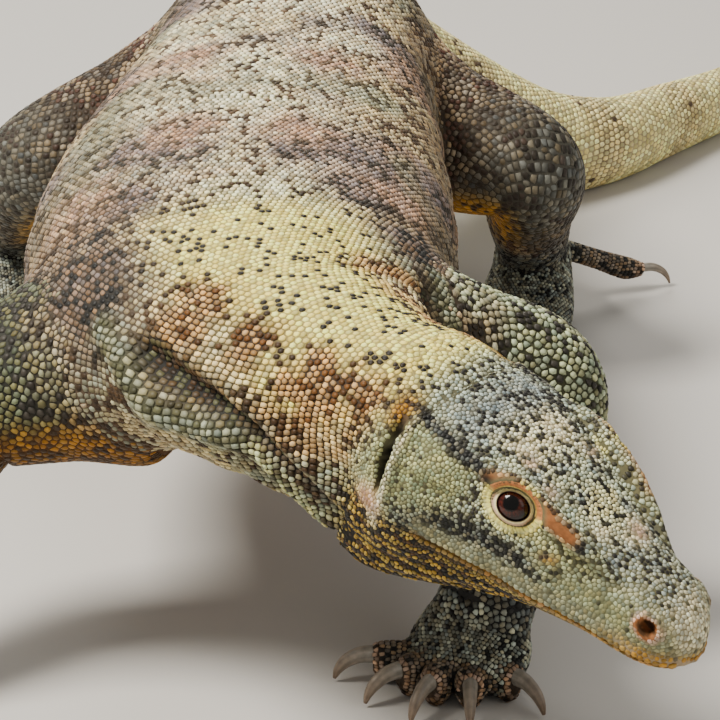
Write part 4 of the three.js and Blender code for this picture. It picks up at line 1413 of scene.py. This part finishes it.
# ---------------------------------------------------------------- materials
def material(name, rough, noise_scale, noise_share, bump_height, coat=0.0, specular=0.4):
    """A surface coloured by the 'tone' values, with a little chance variation and fine bumps."""
    made = bpy.data.materials.new(name)
    made.use_nodes = True
    nodes, links = made.node_tree.nodes, made.node_tree.links
    shader = nodes["Principled BSDF"]
    shader.inputs["Roughness"].default_value = rough
    shader.inputs["Coat Weight"].default_value = coat
    shader.inputs["Coat Roughness"].default_value = 0.12
    shader.inputs["Specular IOR Level"].default_value = specular
    tone = nodes.new("ShaderNodeAttribute")
    tone.attribute_name = "tone"
    where = nodes.new("ShaderNodeTexCoord")
    noise = nodes.new("ShaderNodeTexNoise")
    noise.inputs["Scale"].default_value = noise_scale
    noise.inputs["Detail"].default_value = 4.0
    links.new(where.outputs["Object"], noise.inputs["Vector"])
    spread = nodes.new("ShaderNodeMapRange")
    spread.inputs["From Min"].default_value = 0.3
    spread.inputs["From Max"].default_value = 0.7
    spread.inputs["To Min"].default_value = 1 - noise_share
    spread.inputs["To Max"].default_value = 1 + noise_share
    links.new(noise.outputs["Fac"], spread.inputs["Value"])
    mixed = nodes.new("ShaderNodeVectorMath")
    mixed.operation = "SCALE"
    links.new(tone.outputs["Color"], mixed.inputs[0])
    links.new(spread.outputs["Result"], mixed.inputs["Scale"])
    links.new(mixed.outputs["Vector"], shader.inputs["Base Color"])
    if bump_height:
        relief = nodes.new("ShaderNodeBump")
        relief.inputs["Strength"].default_value = 0.5
        relief.inputs["Distance"].default_value = bump_height
        links.new(noise.outputs["Fac"], relief.inputs["Height"])
        links.new(relief.outputs["Normal"], shader.inputs["Normal"])
    return made


SKIN_COAT = material("skin between scales", 0.72, 420.0, 0.2, 0.0006, specular=0.3)
SCALE_COAT = material("scales", 0.5, 520.0, 0.10, 0.0002, specular=0.24)
EYE_COAT = material("eye", 0.12, 900.0, 0.25, 0.0, coat=0.35, specular=0.25)
LID_COAT = material("eyelids", 0.55, 700.0, 0.15, 0.0003, specular=0.4)
CLAW_COAT = material("claws", 0.38, 260.0, 0.22, 0.0003, coat=0.15, specular=0.45)


# ---------------------------------------------------------------- eyes, lids and claws
def eye_middle(side):
    """The eyeball's middle in the modeller's frame."""
    return head_point(EYE["back"], EYE["up"], EYE["out"] * side)


def eye_frame(side, way):
    """A way out of the eye, the opening's long way and its high way, in the modeller's frame."""
    back, up, out = way
    axis = unit(BACK * back + CROWN * up + LEFT * out * side)
    along = BACK * LID_WAY[0] + CROWN * LID_WAY[1]
    along = unit(along - axis * (along @ axis))
    return axis, along, np.cross(axis, along) * side


def make_eye(name, side, node):
    """A ball with its rings about the gaze, so that pupil and iris have sharp edges: at the angle a from
    the gaze and b round it, middle + radius * (gaze cos a + (along cos b + high sin b) sin a)."""
    axis, along, high = eye_frame(side, GAZE)
    turns = np.radians([1.5, 6, 10, 15, 19, PUPIL - 0.4, PUPIL + 0.4, 24, 27, 30, 34, 39, 44, 50, 52, 60,
                        72, 90, 110, 135, 160, 176])
    a, b = np.meshgrid(turns, np.arange(56) * 2 * np.pi / 56, indexing="ij")
    radius = EYE["radius"] - 0.25
    ahead, beside, over = (
        part[..., None] for part in (np.cos(a), np.sin(a) * np.cos(b), np.sin(a) * np.sin(b)))
    grid = eye_middle(side) + radius * (axis * ahead + along * beside + high * over)
    mesh = closed_mesh(name, to_row(grid))
    degrees = np.degrees(a).ravel()
    # degrees from the gaze, then the tone: the iris, its dark rim and the ball under the lids
    shades = [(22, 30, 12, 8), (27, 66, 26, 16), (35, 58, 20, 14), (46, 30, 11, 9), (52, 16, 8, 7),
              (70, 40, 22, 16)]
    angles = [row[0] for row in shades]
    tones = np.stack([np.interp(degrees, angles, [row[k] for row in shades]) for k in (1, 2, 3)], -1)
    tones *= 1 + 0.22 * np.sin(b.ravel() * 23 + 2 * np.sin(b.ravel() * 7))[:, None]
    tones[degrees < PUPIL] = (6, 5, 4)
    give_tones(mesh, linear(np.vstack([tones, tones[:1], tones[-1:]])))
    finish_piece(mesh, name, EYE_COAT, [node])


def finish_piece(mesh, name, coat, nodes):
    """Smooth shading, a material, a home and the CAD nodes that the piece replaces."""
    mesh.polygons.foreach_set("use_smooth", np.ones(len(mesh.polygons), bool))
    mesh.materials.append(coat)
    piece = new_object(name, mesh)
    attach(piece, "root")
    if nodes:
        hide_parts(*nodes)
    return piece


def make_lids(name, side, skin):
    """A soft thin ring round the opening. At the share p of the opening's half axes and the turn v the
    height along the eye's axis is the eyeball's near the edge and the skin's further out, rippled; each
    section runs inwards over the top, rounds the edge and runs back beneath."""
    axis, along, high = eye_frame(side, EYE_AXIS)
    # share of the half axes and lift, from the outer edge over the top, back beneath
    section = [(2.08, -1.0), (2.0, -0.3), (1.9, 0.05), (1.8, 0.2), (1.7, 0.25), (1.6, 0.25), (1.52, 0.25),
               (1.44, 0.2), (1.38, 0.0), (1.33, 0.0), (1.27, 0.25), (1.2, 0.35), (1.13, 0.45),
               (1.07, 0.55), (1.02, 0.45), (0.985, 0.1), (0.975, -0.35), (1.0, -0.9), (1.15, -1.5),
               (1.4, -1.8), (1.7, -1.8), (1.95, -1.6)]
    share, lift = (np.array(column) for column in zip(*section))
    count, rows = 120, len(section)
    v, k = np.meshgrid(np.arange(count) * 2 * np.pi / count, np.arange(rows), indexing="ij")
    upper = smooth(np.sin(v), -0.1, 0.35)
    p = 1 + (share[k] - 1) * (1 - 0.2 * upper * (share[k] > 1)) * (1 + 0.03 * np.sin(v * 5 + 1))
    x, y = np.cos(v) * EYE_OPENING[0] * p, np.sin(v) * EYE_OPENING[1] * p
    hug = EYE["radius"] + 0.4
    ball = np.sqrt(np.maximum(hug**2 - x**2 - y**2, 1.0))
    middle = eye_middle(side)
    flat = middle + along * x[..., None] + high * y[..., None]
    cast = [skin.tree.ray_cast(Vector(q + axis * 24), Vector(-axis), 40.0)[3] for q in flat.reshape(-1, 3)]
    cast = 24 - np.array([20.0 if d is None else d for d in cast]).reshape(v.shape)
    z = ball + (cast - ball) * smooth(p, 1.05, 1.35)
    top = k < 17
    ripple = 0.10 * np.sin(v * 34 + 3 * np.sin(v * 3) + p * 5) + 0.08 * np.sin(v * 61 + p * 9)
    ripple *= 1 - 0.6 * upper
    folds = 0.2 * np.sin(p * 26 + 0.7 * np.sin(v * 4))
    folds = folds * smooth(p, 1.05, 1.2) * (1 - smooth(p, 1.8, 2.0))
    z = z + lift[k] + top * (ripple * smooth(p, 1.1, 1.5) + folds)
    grid = flat + axis * z[..., None]
    i, j = np.meshgrid(np.arange(count), np.arange(rows), indexing="ij")
    i2, j2 = (i + 1) % count, (j + 1) % rows
    faces = np.stack([i * rows + j, i * rows + j2, i2 * rows + j2, i2 * rows + j], -1).reshape(-1, 4)
    mesh = mesh_of(name, to_row(grid.reshape(-1, 3)), faces.tolist())
    upper = upper[..., None]
    # Tones by share p, for the lower lid and the upper lid: the black and umber at the rim, where the lid
    # turns in against the eyeball, and the lower lid's tan and umber in its groove at 1.34 to 1.37 are
    # painted shade.
    shares = np.array([0.97, 1.01, 1.06, 1.25, 1.34, 1.37, 1.42, 1.6, 1.8, 2.0])
    low_tones = ["black", "umber", "ivory", "pink", "tan", "umber", "straw", "straw", "lime", "olive"]
    high_tones = ["black", "umber", "ivory", "ivory", "straw", "ochre"] + ["orange"] * 4
    tone = [np.stack([np.interp(p, shares, [TONES[name][c] for name in names]) for c in range(3)], -1)
            for names in (low_tones, high_tones)]
    tone = tone[0] * (1 - upper) + tone[1] * upper
    # Lighter on the ripples' crests and darker in their troughs: painted highlight and painted shade of the
    # wrinkles.
    tone = tone * (1 + 1.1 * ripple * smooth(p, 1.15, 1.5))[..., None]
    tone = np.where(top[..., None], tone, TONES["brown"])
    give_tones(mesh, linear(tone.reshape(-1, 3)))
    finish_piece(mesh, name, LID_COAT, [])


def make_claws(name, foot):
    """Curved, tapering horn: rings of 20 along each claw's rows, all of one foot joined."""
    points, faces, tones, first = [], [], [], 0
    for root, way, length, girth, _ in toe_starts(LEGS[foot]):
        tube = Tube(straight_rows(root + way * length, way, CLAW_REACH, CLAW_ROWS, girth), inset=0.1)
        a, b = np.meshgrid(np.linspace(0, tube.t[-1], 26), np.arange(20) * 2 / 20 - 1, indexing="ij")
        grid = tube.point(a, b)
        grid[..., 2] = np.maximum(grid[..., 2], 0.1)
        points.append(np.vstack([grid.reshape(-1, 3), grid[0].mean(0), grid[-1].mean(0)]))
        quads, fans = grid_faces(26, 20, first)
        faces += quads.tolist() + fans.tolist()
        first += 26 * 20 + 2
        share = (a / a.max())[..., None]
        tone = TONES["horn"] * (1 - share) + TONES["taupe"] * share
        tone = tone * (1 + 0.1 * np.sin(b * 19 + 4 * share[..., 0]))[..., None]
        tone = tone.reshape(-1, 3)
        tones.append(np.vstack([tone, tone[:1], tone[-1:]]))
    mesh = mesh_of(name, to_row(np.vstack(points)), faces)
    give_tones(mesh, linear(np.vstack(tones)))
    finish_piece(mesh, name, CLAW_COAT, [f"{foot}_claw_{i}" for i in range(1, 6)])


# ---------------------------------------------------------------- the model
FLESH = ["head", "lower_jaw", "neck", "trunk", "tail_base", "tail_middle", "tail_tip"] + [
    f"{part}_{side}" for part in ("upper_arm", "forearm", "hand", "thigh", "shin", "foot")
    for side in ("left", "right")]


def make_skin(shapes):
    """The one skin over the whole animal, toned like the scales but darker, and a way to read it."""
    mesh = join(shapes)
    skin = Skin(mesh)
    paint = Paint(len(skin.points))
    owner = np.full(len(skin.points), 1e9)
    for shape in shapes.values():
        low, high = shape.low - 14, shape.high + 14
        where = np.flatnonzero(np.all((skin.points > low) & (skin.points < high), axis=1))
        tree = tree_of(shape.points)
        found = [tree.find(p) for p in skin.points[where]]
        index, d = np.array([f[1] for f in found], int), np.array([f[2] for f in found])
        better = d < owner[where]
        where, index = where[better], index[better]
        owner[where] = d[better]
        t, s = shape.grid.t[index], shape.grid.s[index]
        own = paint_for(shape, skin.points[where], t, s)
        paint.scale[where], paint.gap[where] = own.scale, own.gap
    give_tones(mesh, linear(paint.gap * 0.82 * (1 + 0.1 * cloudy(skin.points, 7))[:, None]))
    finish_piece(mesh, "skin", SKIN_COAT, FLESH)
    return skin


GIRTH_PLACES = [NECK_START, NECK_START + 1.5, TRUNK_START + 1, TAIL_START, BODY.t[-1]]


def between(places, values):
    """A pitch that changes along the body."""
    return lambda t: np.interp(t, places, values)


def body_around(t, shares):
    """Scale widths round the body: fine on the back and flanks, broad under the belly."""
    top = np.interp(t, GIRTH_PLACES, [3.6, 4.2, 3.7, 4.6, 4.2])
    side = np.interp(t, GIRTH_PLACES, [2.5, 3.0, 3.6, 4.6, 4.2])
    return top + (side - top) * smooth(shares, 0.2, 0.4) + smooth(shares, 0.66, 0.8) * 1.5


def make_scales(skin, shapes):
    """Every coat piece, by region."""
    body, coat = shapes["body"], Coat()
    t, s, centres, pitch = head_seeds(body)
    b = head_places(centres)[0]
    for name, which in (
            ("snout_scales", b < 88), ("face_scales", (b >= 88) & (b < 150)), ("nape_scales", b >= 150)):
        head = [values[which] for values in (t, s, pitch, pitch, centres)]
        lay_scales(coat, name, skin, shapes, [("body", *head)], True)
    along = between(GIRTH_PLACES, [3.0, 3.5, 3.7, 4.8, 5.4])
    names = ["neck_scales", "shoulder_scales", "rib_scales", "back_scales", "loin_scales", "tail_scales"]
    cuts = [NECK_START + step for step in (0.12, 2.9, 4.4, 5.8, 7.3)] + [TAIL_START, BODY.t[-1] - 0.02]
    for name, start, end in zip(names, cuts[:-1], cuts[1:]):
        rows = in_rows(body, start, end, along, body_around)
        lay_scales(coat, name, skin, shapes, [("body", *rows, None)], False)
    for side in ("left", "right"):
        for limb, foot, pitch in (("arm", "hand_" + side, 4.0), ("leg", "foot_" + side, 4.3)):
            parts = []
            leg = shapes[foot + " leg"]
            parts.append((leg.name, *strewn(leg, 0.02, leg.tube.t[-1], pitch), None))
            for part in ["sole"] + [f"toe {i}" for i in range(1, 6)]:
                shape = shapes[f"{foot} {part}"]
                start = 0.02
                if part == "sole":
                    start = 1.0
                    parts.append((shape.name, *strewn(shape, 0.02, start, SOLE_SCALES["along"]), None))
                rows = in_rows(shape, start, shape.tube.t[-1],
                               lambda t: np.full(np.shape(t), SOLE_SCALES["along"]),
                               lambda t, shares: np.full(len(shares), SOLE_SCALES["around"]))
                parts.append((shape.name, *rows, None))
            lay_scales(coat, f"{side}_{limb}_scales", skin, shapes, parts, True)
    coat.gather()
    coat.thin()
    coat.ease(skin, 3)
    coat.cells()
    coat.build()


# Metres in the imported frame; a lamp's numbers are its place, its width and its power.
LAMPS = [("key lamp", (-1.5, -0.9, 2.4), 0.9, 130), ("fill lamp", (2.2, -2.0, 1.6), 2.2, 16),
         ("back lamp", (-0.4, 2.6, 2.2), 1.6, 60)]
LAMP_AIM = (0.0, -0.6, 0.15)
FLOOR_SIZE, FLOOR_TONE = 60.0, (0.62, 0.60, 0.57, 1)


def make_stage():
    """A pale floor, soft lamps and the camera."""
    floor = bpy.data.meshes.new("floor")
    half = FLOOR_SIZE / 2
    corners = [(-half, -half, 0), (half, -half, 0), (half, half, 0), (-half, half, 0)]
    floor.from_pydata(corners, [], [(0, 1, 2, 3)])
    pale = bpy.data.materials.new("pale floor")
    pale.use_nodes = True
    shader = pale.node_tree.nodes["Principled BSDF"]
    shader.inputs["Base Color"].default_value = FLOOR_TONE
    shader.inputs["Roughness"].default_value = 0.9
    floor.materials.append(pale)
    new_object("floor", floor)
    world = bpy.data.worlds.new("studio")
    world.use_nodes = True
    world.node_tree.nodes["Background"].inputs["Color"].default_value = (1.0, 0.98, 0.95, 1)
    world.node_tree.nodes["Background"].inputs["Strength"].default_value = 0.32
    bpy.context.scene.world = world
    for name, place, size, power in LAMPS:
        lamp = bpy.data.lights.new(name, "AREA")
        lamp.color = (1.0, 0.95, 0.86)
        lamp.size, lamp.energy = size, power
        holder = bpy.data.objects.new(name, lamp)
        holder.location = place
        aim = Vector(LAMP_AIM) - Vector(place)
        holder.rotation_euler = aim.to_track_quat("-Z", "Y").to_euler()
        bpy.context.scene.collection.objects.link(holder)
    camera = bpy.data.cameras.new("camera")
    camera.lens, camera.sensor_width = LENS, SENSOR_WIDTH
    holder = bpy.data.objects.new("camera", camera)
    holder.location = CAMERA_PLACE
    holder.rotation_euler = (np.radians(CAMERA_TILT), 0.0, 0.0)
    bpy.context.scene.collection.objects.link(holder)
    bpy.context.scene.camera = holder


shapes = build_shapes()
skin = make_skin(shapes)
make_scales(skin, shapes)
for side, word in ((1, "left"), (-1, "right")):
    make_eye(f"{word}_eye", side, f"eye_{word}")
    make_lids(f"{word}_eyelids", side, skin)
for foot in LEGS:
    make_claws(f"{foot}_claws", foot)
make_stage()
